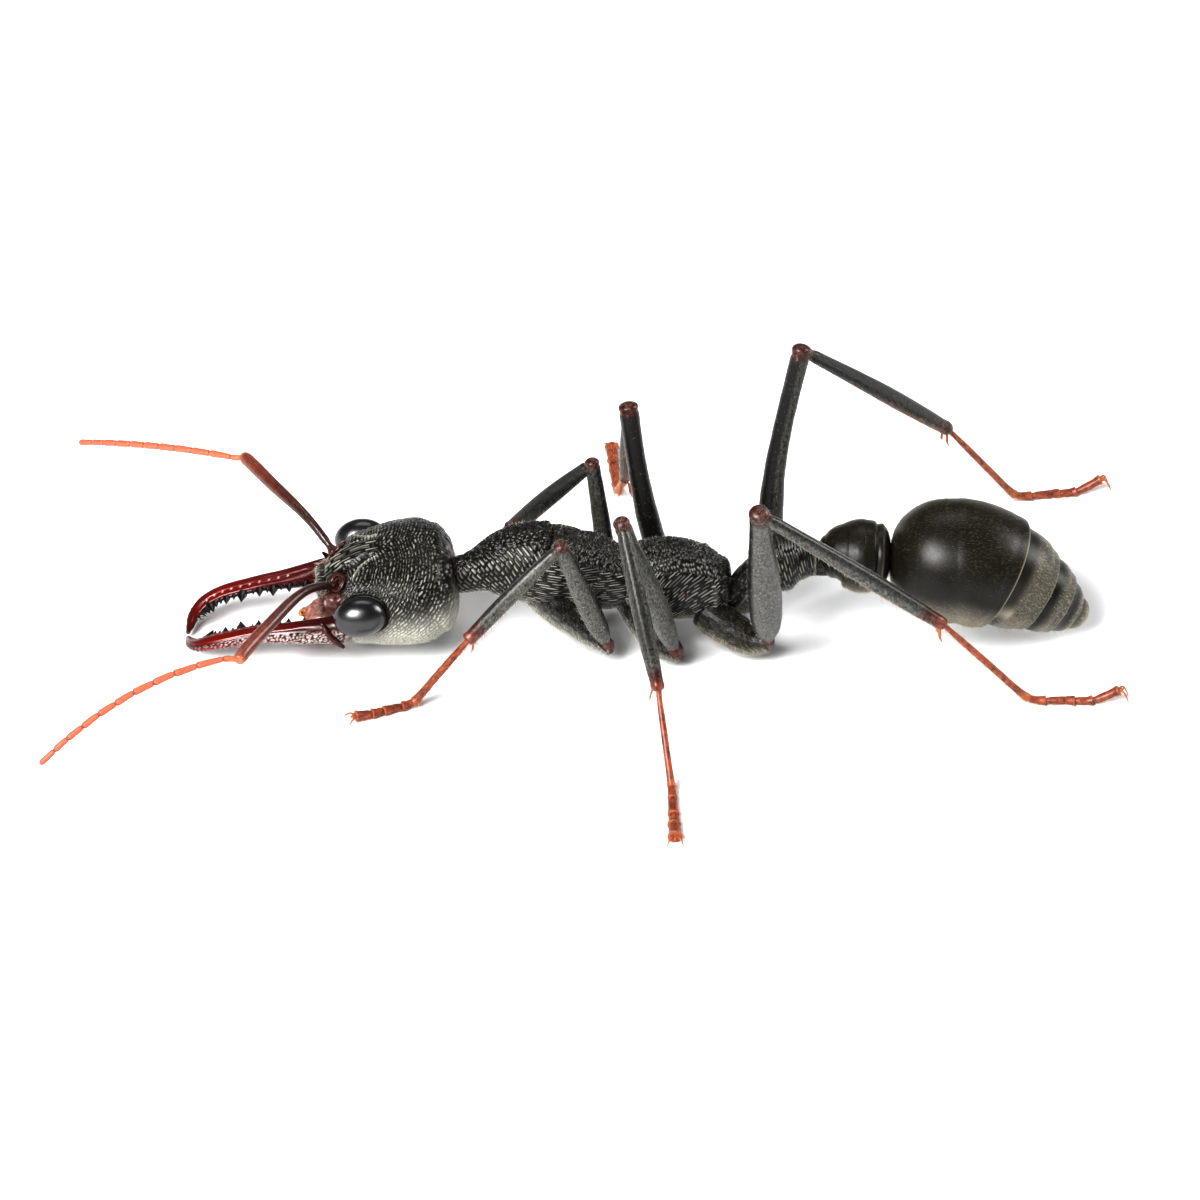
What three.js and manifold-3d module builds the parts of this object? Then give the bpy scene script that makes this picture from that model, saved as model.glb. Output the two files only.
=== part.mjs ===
// A bull ant worker (genus Myrmecia), standing, at life size: about 24 mm from the tips of
// its jaws to the tip of its gaster. Millimetres, +Z up. The head points to -X, the tail to
// +X, the ant's left side is -Y and its right side is +Y. The origin is the middle of the
// bottom of the ant's box, on the floor that its six feet stand on.
import * as THREE from 'three';
import { mergeVertices } from 'three/addons/utils/BufferGeometryUtils.js';
import Module from 'manifold-3d';

const wasm = await Module();
wasm.setup();

// ---------------------------------------------------------------- driving dimensions
const CUT = 0.05;              // width of the thin cut between neighbouring pieces
const THIN = 0.25;             // half thickness of the thinnest legs and feelers
const SOLE = 0.21;             // height of a foot's middle line over the floor

const HEAD_LENGTH = 3.75;      // occiput to the front of the clypeus
const HEAD_HALF_WIDTH = 1.86;  // without the eyes
const HEAD_HALF_DEPTH = 1.4;
const HEAD_PITCH = -9;         // degrees, front down
const HEAD_YAW = 1;            // degrees, front to the ant's left
const NECK = [-3.72, 0, 2.05]; // where the head hangs on the neck

const EYE = { x: -2.6, y: 1.78, z: 0.38, along: 0.72, out: 0.5, tall: 0.58 };
const SOCKET = { x: -3.2, y: 0.7, z: 0.72 };   // where a feeler leaves the head
const JAW_TEETH = 9;
const JAW_HALF_WIDTH = 0.25;
const TOOTH_WIDTH = 0.26;
const TOOTH_REACH = [0.3, 0.2];  // large and small teeth, in turn
const FLOOR_SIZE = 60;         // the slab that cuts the soles flat

const LEFT = -1;
const RIGHT = 1;

const COLOURS = {
  cuticle: { color: 0x2b2a2a, roughness: 0.5, metalness: 0 },
  gaster: { color: 0x29261e, roughness: 0.35, metalness: 0 },
  leg: { color: 0x35302e, roughness: 0.45, metalness: 0 },
  foot: { color: 0x9c4426, roughness: 0.45, metalness: 0 },
  jaw: { color: 0x5a0f0c, roughness: 0.25, metalness: 0 },
  feeler: { color: 0xb8603c, roughness: 0.5, metalness: 0 },
  eye: { color: 0x111113, roughness: 0.2, metalness: 0 },
};

// ---------------------------------------------------------------- shape tools
const radians = THREE.MathUtils.degToRad;
const point = (x, y, z) => new THREE.Vector3(x, y, z);

// A smooth run through values that are evenly spaced from 0 to 1.
function run(values) {
  const curve = new THREE.CatmullRomCurve3(values.map((v, i) => point(i, v, 0)));
  return (t) => curve.getPoint(t).y;
}

// The rings of a pod: how far along its spine each lies (beyond an end inside a cap), and
// how much of its full size it has. A cap is a quarter of an ellipse.
function rings(along, caps, capRings) {
  const list = [];
  for (let i = 0; i < capRings; i += 1) {
    const angle = (Math.PI / 2) * (i / capRings);
    list.push({ t: 0, beyond: -caps[0] * Math.cos(angle), scale: Math.sin(angle) });
  }
  for (let i = 0; i <= along; i += 1) {
    list.push({ t: i / along, beyond: 0, scale: 1 });
  }
  for (let i = capRings - 1; i >= 0; i -= 1) {
    const angle = (Math.PI / 2) * (i / capRings);
    list.push({ t: 1, beyond: caps[1] * Math.cos(angle), scale: Math.sin(angle) });
  }
  return list;
}

// A closed pod along a spine: a sphere whose rings are moved onto the spine and given a
// half width and half height there, a rounded-square section if square is over 2, and a
// rounded cap at each end. grow swells it all round, to make the space for its neighbour.
function pod(spine, size, grow = 0) {
  const { wide, tall = wide, caps, around = 12, along = 5, capRings = 3 } = size;
  const { square = 2, up = point(0, 0, 1) } = size;
  const curve = spine instanceof THREE.Curve ? spine : new THREE.CatmullRomCurve3(spine);
  const width = run(wide);
  const height = run(tall);
  const list = rings(along, caps.map((cap) => cap + grow), capRings);
  const sphere = new THREE.SphereGeometry(1, around, list.length - 1);
  const place = sphere.getAttribute('position');
  const uv = sphere.getAttribute('uv');
  for (let i = 0; i < place.count; i += 1) {
    const ring = list[Math.round((1 - uv.getY(i)) * (list.length - 1))];
    const tangent = curve.getTangent(ring.t).normalize();
    const side = tangent.clone().cross(up).normalize();
    const top = side.clone().cross(tangent);
    const angle = 2 * Math.PI * uv.getX(i);
    const round = (v) => Math.sign(v) * Math.abs(v) ** (2 / square);
    const out = (width(ring.t) + grow) * ring.scale * round(Math.cos(angle));
    const rise = (height(ring.t) + grow) * ring.scale * round(Math.sin(angle));
    const p = curve.getPoint(ring.t).addScaledVector(tangent, ring.beyond);
    p.addScaledVector(side, out).addScaledVector(top, rise);
    place.setXYZ(i, p.x, p.y, p.z);
  }
  return sphere;
}

// An ellipsoid with its own half sizes.
function ellipsoid(centre, half, grow = 0) {
  const [around, rows] = [14, 9];
  const ball = new THREE.SphereGeometry(1, around, rows);
  ball.scale(half.x + grow, half.y + grow, half.z + grow);
  return ball.translate(centre.x, centre.y, centre.z);
}

// A closed geometry, moved by a matrix, as a solid that can be joined and cut.
function solid(geometry, matrix = new THREE.Matrix4()) {
  const bare = geometry.clone().applyMatrix4(matrix);
  bare.deleteAttribute('normal');
  bare.deleteAttribute('uv');
  const merged = mergeVertices(bare);
  return new wasm.Manifold(new wasm.Mesh({
    numProp: 3,
    vertProperties: new Float32Array(merged.getAttribute('position').array),
    triVerts: new Uint32Array(merged.getIndex().array),
  }));
}

// A named mesh of a solid, in a group, with one of the materials.
function show(group, name, shape, material) {
  const { vertProperties, triVerts } = shape.getMesh();
  const geometry = new THREE.BufferGeometry();
  geometry.setAttribute('position', new THREE.BufferAttribute(vertProperties, 3));
  geometry.setIndex(new THREE.BufferAttribute(triVerts, 1));
  geometry.computeVertexNormals();
  const mesh = new THREE.Mesh(geometry, new THREE.MeshStandardMaterial(COLOURS[material]));
  mesh.name = name;
  group.add(mesh);
}

const sideName = (side) => (side === LEFT ? 'left' : 'right');

// ---------------------------------------------------------------- groups
const ant = new THREE.Group();
const head = new THREE.Group();
head.position.set(...NECK);
head.rotation.set(0, radians(HEAD_PITCH), radians(HEAD_YAW), 'ZYX');
head.updateMatrixWorld();
ant.add(head);

// ---------------------------------------------------------------- head
// In the head's own frame the origin is at the neck, and the jaws point along -X.
const headPod = (grow) => pod(
  [
    point(-0.55, 0, 0.02),
    point(-0.3 * HEAD_LENGTH, 0, 0.06),
    point(-0.6 * HEAD_LENGTH, 0, 0.02),
    point(-0.93 * HEAD_LENGTH, 0, -0.22),
  ],
  {
    wide: [0.86, 1, 0.99, 0.93, 0.8].map((v) => v * HEAD_HALF_WIDTH),
    tall: [0.88, 1, 0.98, 0.86, 0.6].map((v) => v * HEAD_HALF_DEPTH),
    caps: [0.5, 0.28],
    square: 2.45,
    around: 22,
    along: 6,
  },
  grow,
);

const eyePod = (side, grow) => ellipsoid(
  point(EYE.x, side * EYE.y, EYE.z),
  point(EYE.along, EYE.out, EYE.tall),
  grow,
);

function makeHead() {
  let capsule = solid(headPod(0));
  for (const side of [LEFT, RIGHT]) {
    capsule = capsule.subtract(solid(eyePod(side, CUT)));
    show(head, `eye_${sideName(side)}`, solid(eyePod(side, 0)), 'eye');
  }
  show(head, 'head', capsule, 'cuticle');
}

// A jaw runs forward, then hooks inward and down at its tip, so that the two tips cross.
const jawCurve = (side) => new THREE.CatmullRomCurve3([
  point(-3.4, side * 1.36, -0.2),
  point(-4.44, side * 1.22, -0.19),
  point(-5.5, side * 1.12, -0.15),
  point(-6.6, side * 1.05, -0.27),
  point(-7.2, side * 0.75, -0.48),
  point(-7.46, side * 0.12, -0.7),
]);

const jawPod = (side, grow) => pod(
  jawCurve(side),
  {
    wide: [1.5, 1.45, 1.05, 0.92, 0.8, 0.66, 0.45].map((v) => v * JAW_HALF_WIDTH),
    tall: [1.5, 1.3, 0.95, 0.8, 0.7, 0.6, 0.4].map((v) => v * JAW_HALF_WIDTH),
    caps: [0.2, 0.1],
    around: 6,
    along: 9,
    capRings: 2,
  },
  grow,
);

// Teeth stand along the inner edge, large and small in turn.
function jawTooth(side, index) {
  const [first, last] = [0.26, 0.86];
  const t = THREE.MathUtils.lerp(first, last, index / (JAW_TEETH - 1));
  const curve = jawCurve(side);
  const tangent = curve.getTangent(t).normalize();
  const inward = tangent.clone().cross(point(0, 0, -side)).normalize();
  const reach = TOOTH_REACH[index % 2];
  const tooth = new THREE.ConeGeometry(TOOTH_WIDTH / 2, reach, 4);
  tooth.applyQuaternion(new THREE.Quaternion().setFromUnitVectors(point(0, 1, 0), inward));
  const foot = curve.getPoint(t).addScaledVector(inward, (JAW_HALF_WIDTH + reach) / 2);
  return tooth.translate(foot.x, foot.y, foot.z);
}

function makeJaws() {
  for (const side of [LEFT, RIGHT]) {
    let jaw = solid(jawPod(side, 0));
    for (let index = 0; index < JAW_TEETH; index += 1) {
      jaw = jaw.add(solid(jawTooth(side, index)));
    }
    jaw = jaw.subtract(solid(headPod(CUT)));
    if (side === RIGHT) {
      jaw = jaw.subtract(solid(jawPod(LEFT, CUT)));
    }
    show(head, `mandible_${sideName(side)}`, jaw, 'jaw');
  }
}

// The labrum and folded mouthparts hang between the jaws, under the clypeus.
function makeMouth() {
  const spine = [point(-3.2, 0, -0.6), point(-3.7, 0, -0.62), point(-4.15, 0, -0.55)];
  const size = { wide: [0.75, 0.7, 0.5], tall: [0.34, 0.32, 0.24], caps: [0.1, 0.15] };
  let mouth = solid(pod(spine, { ...size, square: 2.6 })).subtract(solid(headPod(CUT)));
  for (const side of [LEFT, RIGHT]) {
    mouth = mouth.subtract(solid(jawPod(side, CUT)));
  }
  show(head, 'mouthparts', mouth, 'foot');
}

// ---------------------------------------------------------------- feelers
// Each feeler's first joint, the scape, bows forward and out to its elbow. The lash then
// runs forward and out, arched, to its tip. Both are in the head's own frame.
const FEELERS = [
  { side: LEFT, elbow: [-5.5, 4.43, 1.59], tip: [-11.02, 7.3, 0.96], arch: 0.65 },
  { side: RIGHT, elbow: [-5.5, 4.43, 1.59], tip: [-10.49, 8.0, 0.51], arch: 0.15 },
];

const scapePod = (feeler, grow) => {
  const { side, elbow } = feeler;
  const base = point(SOCKET.x, side * SOCKET.y, SOCKET.z);
  const end = point(elbow[0], side * elbow[1], elbow[2]);
  const bow = base.clone().lerp(end, 0.36).add(point(-0.12, -0.12 * side, 0.66));
  return pod(new THREE.QuadraticBezierCurve3(base, bow, end), {
    wide: [THIN, THIN, 1.1 * THIN],
    caps: [0.2, 0.22],
    around: 8,
    along: 4,
    capRings: 2,
  }, grow);
};

const lashPod = (feeler) => {
  const { side, elbow, tip, arch } = feeler;
  const start = point(elbow[0], side * elbow[1], elbow[2]);
  const end = point(tip[0], side * tip[1], tip[2]);
  const bow = start.clone().lerp(end, 0.5).add(point(0, 0, 2 * arch));
  return pod(new THREE.QuadraticBezierCurve3(start, bow, end), {
    wide: [THIN, THIN],
    caps: [0.2, 0.25],
    around: 8,
    along: 6,
    capRings: 2,
  });
};

function makeFeelers() {
  for (const feeler of FEELERS) {
    const name = sideName(feeler.side);
    const scape = solid(scapePod(feeler, 0)).subtract(solid(headPod(CUT)));
    const lash = solid(lashPod(feeler)).subtract(solid(scapePod(feeler, CUT)));
    show(head, `antenna_scape_${name}`, scape, 'feeler');
    show(head, `antenna_flagellum_${name}`, lash, 'feeler');
  }
}

// ---------------------------------------------------------------- trunk
const prothoraxPod = (grow) => pod(
  [
    point(-3.62, 0, 2.1),
    point(-2.95, 0, 2.33),
    point(-2.2, 0, 2.46),
    point(-1.45, 0, 2.44),
    point(-0.95, 0, 2.38),
  ],
  {
    wide: [0.42, 0.58, 0.86, 1.03, 1.08, 1.0],
    tall: [0.46, 0.68, 1.02, 1.18, 1.2, 1.12],
    caps: [0.25, 0.3],
    square: 2.1,
    around: 14,
    along: 6,
  },
  grow,
);

const mesothoraxPod = (grow) => pod(
  [point(-1.3, 0, 2.3), point(-0.6, 0, 2.28), point(0.0, 0, 2.1), point(0.6, 0, 1.78)],
  {
    wide: [0.84, 0.9, 0.9, 0.84, 0.72],
    tall: [1.12, 1.16, 1.14, 1.0, 0.76],
    caps: [0.2, 0.3],
    square: 2.1,
    around: 14,
    along: 4,
  },
  grow,
);

const propodeumPod = (grow) => pod(
  [point(0.95, 0, 1.93), point(1.6, 0, 2.0), point(2.3, 0, 1.92), point(3.05, 0, 1.68)],
  {
    wide: [0.78, 0.86, 0.88, 0.84, 0.7],
    tall: [1.02, 1.16, 1.18, 1.1, 0.86],
    caps: [0.35, 0.4],
    square: 2.25,
    around: 14,
    along: 5,
  },
  grow,
);

function makeTrunk() {
  const neckSpace = solid(headPod(CUT), head.matrixWorld);
  const front = solid(prothoraxPod(0)).subtract(neckSpace);
  const middle = solid(mesothoraxPod(0)).subtract(solid(prothoraxPod(CUT)));
  const rear = solid(propodeumPod(0)).subtract(solid(mesothoraxPod(CUT)));
  show(ant, 'pronotum', front, 'cuticle');
  show(ant, 'mesothorax', middle, 'cuticle');
  show(ant, 'propodeum', rear, 'cuticle');
}

// ---------------------------------------------------------------- waist and gaster
const petiolePod = (grow) => pod(
  [
    point(3.45, 0, 1.46),
    point(3.95, 0, 1.72),
    point(4.45, 0, 2.3),
    point(5.05, 0, 2.66),
    point(5.6, 0, 2.56),
  ],
  {
    wide: [0.4, 0.4, 0.56, 0.74, 0.7, 0.46],
    tall: [0.42, 0.42, 0.66, 0.84, 0.76, 0.46],
    caps: [0.25, 0.22],
    around: 12,
    along: 7,
    capRings: 2,
  },
  grow,
);

const postpetiolePod = (grow) => pod(
  [point(6.05, 0, 2.44), point(6.5, 0, 2.6), point(7.0, 0, 2.72), point(7.45, 0, 2.76)],
  {
    wide: [0.44, 0.82, 1.0, 0.98, 0.84],
    tall: [0.46, 0.82, 1.0, 0.98, 0.84],
    caps: [0.15, 0.25],
    around: 14,
    along: 5,
    capRings: 2,
  },
  grow,
);

// The gaster's plates follow one line that bends down to the tail, and each plate comes out
// of the one before it, a little smaller.
const GASTER_PLATES = [
  {
    name: 'gaster_1',
    spine: [[7.95, 2.8], [8.6, 2.7], [9.6, 2.53], [10.3, 2.3], [10.78, 2.02]],
    wide: [0.95, 1.42, 1.68, 1.68, 1.46],
    caps: [0.22, 0.1],
    around: 18,
    along: 7,
    capRings: 2,
  },
  {
    name: 'gaster_2',
    spine: [[10.2, 2.32], [10.9, 1.97], [11.55, 1.56]],
    wide: [1.42, 1.4, 1.18],
    caps: [0.1, 0.08],
    around: 16,
    along: 3,
    capRings: 2,
  },
  {
    name: 'gaster_3',
    spine: [[11.1, 1.86], [11.65, 1.5], [12.15, 1.16]],
    wide: [1.14, 1.12, 0.9],
    caps: [0.1, 0.08],
    around: 14,
    along: 3,
    capRings: 2,
  },
  {
    name: 'gaster_4',
    spine: [[11.85, 1.4], [12.25, 1.1], [12.6, 0.8]],
    wide: [0.9, 0.82, 0.42],
    caps: [0.1, 0.42],
    around: 12,
    along: 3,
  },
];

const platePod = (plate, grow) => pod(
  plate.spine.map(([x, z]) => point(x, 0, z)),
  plate,
  grow,
);

function makeWaistAndGaster() {
  const petiole = solid(petiolePod(0)).subtract(solid(propodeumPod(CUT)));
  const postpetiole = solid(postpetiolePod(0)).subtract(solid(petiolePod(CUT)));
  show(ant, 'petiole', petiole, 'cuticle');
  show(ant, 'postpetiole', postpetiole, 'gaster');
  let space = solid(postpetiolePod(CUT));
  for (const plate of GASTER_PLATES) {
    show(ant, plate.name, solid(platePod(plate, 0)).subtract(space), 'gaster');
    space = solid(platePod(plate, CUT));
  }
}

// ---------------------------------------------------------------- legs
// Lengths run from joint to joint. The coxa runs from the hip to the knuckle, and each leg's
// pose, below, says where its knuckle is.
const LEG_PAIRS = {
  fore: { hip: [-1.35, 0.42, 1.5], femur: 4.05, tibia: 3.5, tarsus: 2.4, toes: 1.65, thick: 0.33 },
  mid: { hip: [0.95, 0.42, 1.2], femur: 5.3, tibia: 4.4, tarsus: 2.6, toes: 2.1, thick: 0.33 },
  hind: { hip: [2.85, 0.42, 1.15], femur: 6.8, tibia: 6.45, tarsus: 3.5, toes: 2.4, thick: 0.41 },
};

// Each leg's pose: where its coxa ends, and for the femur and tibia the degrees forward
// from straight out and up from level. The tarsus and toes have only the degrees forward:
// the tarsus comes down just far enough to set the toes on the floor.
const LEGS = [
  {
    pair: 'fore',
    side: LEFT,
    knuckle: [0.19, 1.3, 0.7],
    femur: [57, 69],
    tibia: [71, -43],
    tarsus: 83,
    toes: 68,
  },
  {
    pair: 'fore',
    side: RIGHT,
    knuckle: [0.33, 1.32, 0.62],
    femur: [72, 82],
    tibia: [72, -49],
    tarsus: 62,
    toes: 25,
  },
  {
    pair: 'mid',
    side: LEFT,
    knuckle: [2.01, 1.43, 0.56],
    femur: [53, 70],
    tibia: [-21, -53],
    tarsus: -11,
    toes: -2,
  },
  {
    pair: 'mid',
    side: RIGHT,
    knuckle: [1.8, 1.3, 0.68],
    femur: [41, 72.4],
    tibia: [2, -61],
    tarsus: 6,
    toes: 4,
  },
  {
    pair: 'hind',
    side: LEFT,
    knuckle: [4.45, 1.21, 0.78],
    femur: [7, 65],
    tibia: [-100, -40],
    tarsus: -96,
    toes: -91,
  },
  {
    pair: 'hind',
    side: RIGHT,
    knuckle: [4.45, 1.26, 0.77],
    femur: [-28, 74],
    tibia: [-58, -42],
    tarsus: -66,
    toes: -80,
  },
];

// A step of some length from a point, forward and up by degrees, on one side of the body.
function step(from, length, side, forward, up) {
  const level = length * Math.cos(radians(up));
  const x = -level * Math.sin(radians(forward));
  const y = side * level * Math.cos(radians(forward));
  return from.clone().add(point(x, y, length * Math.sin(radians(up))));
}

// The joints of a leg, from the hip to the tip of the toes.
function legJoints(leg) {
  const { hip: [hx, hy, hz], ...length } = LEG_PAIRS[leg.pair];
  const { side, knuckle: [kx, ky, kz] } = leg;
  const hip = point(hx, side * hy, hz);
  const knuckle = point(kx, side * ky, kz);
  const knee = step(knuckle, length.femur, side, ...leg.femur);
  const ankle = step(knee, length.tibia, side, ...leg.tibia);
  const drop = THREE.MathUtils.radToDeg(Math.asin((SOLE - ankle.z) / length.tarsus));
  const heel = step(ankle, length.tarsus, side, leg.tarsus, drop);
  const tip = step(heel, length.toes, side, leg.toes, 0);
  return { hip, knuckle, knee, ankle, heel, tip };
}

// The tarsus comes down straight, bends round the heel and lies along the floor.
function tarsusCurve({ ankle, heel, tip }) {
  const bend = 0.5;
  const before = heel.clone().addScaledVector(ankle.clone().sub(heel).normalize(), bend);
  const after = heel.clone().addScaledVector(tip.clone().sub(heel).normalize(), bend);
  const path = new THREE.CurvePath();
  path.add(new THREE.LineCurve3(ankle, before));
  path.add(new THREE.QuadraticBezierCurve3(before, heel, after));
  path.add(new THREE.LineCurve3(after, tip));
  return path;
}

const LEG_SIZE = { caps: [0.2, 0.2], around: 8, capRings: 2, up: point(1, 0, 0.001) };

function makeLeg(leg, trunk, floor) {
  const { thick } = LEG_PAIRS[leg.pair];
  const joints = legJoints(leg);
  const name = `${leg.pair}leg_${sideName(leg.side)}`;
  const straight = (a, b) => new THREE.LineCurve3(joints[a], joints[b]);

  const coxaPod = (grow) => pod(straight('hip', 'knuckle'), {
    ...LEG_SIZE,
    wide: [0.4, 0.46, 0.42, 0.31],
    caps: [0.3, 0.31],
    around: 10,
    along: 3,
    up: point(0, 0, 1),
  }, grow);
  const femurPod = (grow) => pod(straight('knuckle', 'knee'), {
    ...LEG_SIZE,
    wide: [0.26, thick * 0.85, thick, thick * 0.9, 0.28, 0.26, 0.3],
    caps: [0.2, 0.3],
    along: 6,
  }, grow);
  const tibiaPod = (grow) => pod(straight('knee', 'ankle'), {
    ...LEG_SIZE,
    wide: [THIN, THIN, 0.29],
    caps: [0.2, 0.29],
    along: 2,
  }, grow);
  const tarsusPod = pod(tarsusCurve(joints), {
    ...LEG_SIZE,
    wide: [THIN, THIN],
    along: 6,
    up: point(0, 0, 1),
  });

  const coxa = solid(coxaPod(0)).subtract(trunk);
  const femur = solid(femurPod(0)).subtract(solid(coxaPod(CUT)));
  const tibia = solid(tibiaPod(0)).subtract(solid(femurPod(CUT)));
  const tarsus = solid(tarsusPod).subtract(solid(tibiaPod(CUT))).subtract(floor);
  show(ant, `${name}_coxa`, coxa, 'cuticle');
  show(ant, `${name}_femur`, femur, 'leg');
  show(ant, `${name}_tibia`, tibia, 'leg');
  show(ant, `${name}_tarsus`, tarsus, 'foot');
}

function makeLegs() {
  const trunk = solid(prothoraxPod(CUT))
    .add(solid(mesothoraxPod(CUT)))
    .add(solid(propodeumPod(CUT)));
  const slab = new THREE.BoxGeometry(FLOOR_SIZE, FLOOR_SIZE, 2).translate(0, 0, -1);
  const floor = solid(slab);
  for (const leg of LEGS) {
    makeLeg(leg, trunk, floor);
  }
}

// ---------------------------------------------------------------- assembly
makeHead();
makeJaws();
makeMouth();
makeFeelers();
makeTrunk();
makeWaistAndGaster();
makeLegs();

// The finished ant is slid so that the origin is the middle of the bottom of its box.
const whole = new THREE.Box3().setFromObject(ant, true);
const middle = whole.getCenter(new THREE.Vector3());
ant.position.set(-middle.x, -middle.y, -whole.min.z);
ant.updateMatrixWorld(true);

export default ant;
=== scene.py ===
from collections import namedtuple
from math import cos, pi, radians, sin

import bpy
import numpy as np
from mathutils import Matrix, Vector, noise


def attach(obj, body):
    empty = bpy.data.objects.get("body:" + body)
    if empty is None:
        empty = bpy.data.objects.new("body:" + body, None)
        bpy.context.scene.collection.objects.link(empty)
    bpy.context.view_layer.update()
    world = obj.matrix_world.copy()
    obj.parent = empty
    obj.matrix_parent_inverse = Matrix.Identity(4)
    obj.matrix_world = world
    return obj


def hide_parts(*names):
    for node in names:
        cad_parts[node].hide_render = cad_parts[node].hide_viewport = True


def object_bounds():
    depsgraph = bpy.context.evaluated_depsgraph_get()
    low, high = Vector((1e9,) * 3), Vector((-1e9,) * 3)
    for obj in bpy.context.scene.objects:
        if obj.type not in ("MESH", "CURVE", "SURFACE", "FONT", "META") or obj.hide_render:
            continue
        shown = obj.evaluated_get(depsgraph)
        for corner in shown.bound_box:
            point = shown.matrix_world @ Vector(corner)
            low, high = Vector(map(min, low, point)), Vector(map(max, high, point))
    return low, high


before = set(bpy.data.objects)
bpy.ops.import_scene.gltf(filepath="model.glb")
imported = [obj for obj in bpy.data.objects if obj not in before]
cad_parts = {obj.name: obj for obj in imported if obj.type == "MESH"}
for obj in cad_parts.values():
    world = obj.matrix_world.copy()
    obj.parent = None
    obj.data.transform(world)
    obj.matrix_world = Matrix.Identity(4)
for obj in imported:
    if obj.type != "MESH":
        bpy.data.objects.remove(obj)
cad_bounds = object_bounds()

MM = 0.001      # in metres
UP = np.array([0.0, 0.0, 1.0])
AHEAD = np.array([1.0, 0.0, 0.0])
rng = np.random.default_rng(11)     # for the hairs


# ---------------------------------------------------------------- vectors and lines
def unit(v):
    v = np.asarray(v, dtype=float)
    return v / np.maximum(np.linalg.norm(v, axis=-1, keepdims=True), 1e-12)


def resample(values, count):
    """Values at even steps, run smoothly (Catmull-Rom) through count steps."""
    values = np.asarray(values, dtype=float)
    last = len(values) - 1
    t = np.linspace(0, last, count)
    i = np.minimum(t.astype(int), last - 1)
    f = t - i
    if values.ndim > 1:
        f = f[:, None]
    a, b, c, d = (values[np.clip(i + k, 0, last)] for k in (-1, 0, 1, 2))
    return 0.5 * (2 * b + (c - a) * f + (2 * a - 5 * b + 4 * c - d) * f**2
                  + (3 * b - a - 3 * c + d) * f**3)


def smoothstep(low, high, v):
    t = np.clip((v - low) / (high - low), 0, 1)
    return t * t * (3 - 2 * t)


def bell(v, width):
    return np.exp(-((v / width) ** 2))


def ripple(points, size, seed=0):
    """Smooth random values from about -1 to 1, with lumps of about size."""
    places = (points.reshape(-1, 3) / size + 31.7 * seed).tolist()
    return np.array([noise.noise(place) for place in places]).reshape(points.shape[:-1])


def turned(s, t, angle):
    """Distances across and along lines that run at an angle over an unrolled surface."""
    a = radians(angle)
    return t * cos(a) - s * sin(a), s * cos(a) + t * sin(a)


def grains(s, t, angle, wide, long, seed, wander=0.0, loose=(0.85, 0.85)):
    """Rounded grains in rows that run at an angle over an unrolled surface: 1 on their tops and
    -1 between them. loose is how far they stray from even places, across and along."""
    across, forward = turned(s, t, angle)
    u, v = across / wide + wander, forward / long + wander
    column, row = np.floor(u), np.floor(v)
    nearest = np.full(u.shape, 9.0)
    for i in (-1, 0, 1):
        for j in (-1, 0, 1):
            a, b = column + i, row + j
            first = np.sin(a * 127.1 + b * 311.7 + seed * 74.7) * 43758.5
            second = np.sin(a * 269.5 + b * 183.3 + seed * 21.9) * 28001.8
            gap_u = a + 0.25 + 0.5 * (b % 2) + loose[0] * (first - np.floor(first) - 0.5) - u
            gap_v = b + 0.5 + loose[1] * (second - np.floor(second) - 0.5) - v
            nearest = np.minimum(nearest, np.hypot(gap_u, gap_v))
    return 1 - 2 * smoothstep(0.1, 0.6, nearest)


def scatter(a, b):
    """A value from 0 to 1 for each pair of whole numbers, with no pattern to it."""
    return (np.sin(a * 127.1 + b * 311.7) * 43758.5) % 1


def ridges(across, forward, seed, gap=0.14):
    """Parallel ridges, one for each unit across, broken about once for each unit forward.
    Their tops are 0.3 to 1 high and the grooves between them -1."""
    row = np.floor(across) + 50 * seed
    run = forward + scatter(row, 0)
    cell = np.floor(run)
    past = run - cell - 0.5 - 0.6 * (scatter(row, cell) - 0.5)
    stroke = cell + (past > 0)
    height = 0.65 + 0.35 * scatter(row, stroke + 0.5)
    return (1 - np.cos(2 * pi * across)) * height * (1 - 0.85 * bell(past, gap)) - 1


def lines(s, t, angle, spacing, length, seed, wander=0.0):
    """Broken ridges that run at an angle over an unrolled surface."""
    across, forward = turned(s, t, angle)
    return ridges(across / spacing + wander, forward / length + wander, seed)


# ---------------------------------------------------------------- measuring the CAD model
def cad(name):
    """The corners and edges of a CAD node's mesh."""
    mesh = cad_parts[name].data
    corners = np.empty(3 * len(mesh.vertices))
    mesh.vertices.foreach_get("co", corners)
    edges = np.empty(2 * len(mesh.edges), dtype=np.int32)
    mesh.edges.foreach_get("vertices", edges)
    return corners.reshape(-1, 3) / MM, edges.reshape(-1, 2)


def section(names, place, heading, reach):
    """The points where a plane cuts the surfaces of CAD nodes, within reach of a place."""
    found = []
    for name in names:
        corners, edges = cad(name)
        height = (corners - place) @ heading
        a, b = edges.T
        cross = (height[a] > 0) != (height[b] > 0)
        a, b = a[cross], b[cross]
        share = (height[a] / (height[a] - height[b]))[:, None]
        found.append(corners[a] + share * (corners[b] - corners[a]))
    rim = np.concatenate(found)
    return rim[np.linalg.norm(rim - place, axis=1) < reach]


def outline(names, place, heading, reach=3.0, up=UP):
    """The middle, half width and half height of a section, or None where there is none."""
    rim = section(names, place, heading, reach)
    if len(rim) < 6:
        return None
    side = unit(np.cross(heading, up))
    top = np.cross(side, heading)
    across = (rim - place) @ side
    rise = (rim - place) @ top
    middle = place + side * (across.max() + across.min()) / 2 + top * (rise.max() + rise.min()) / 2
    return middle, np.ptp(across) / 2, np.ptp(rise) / 2


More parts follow.
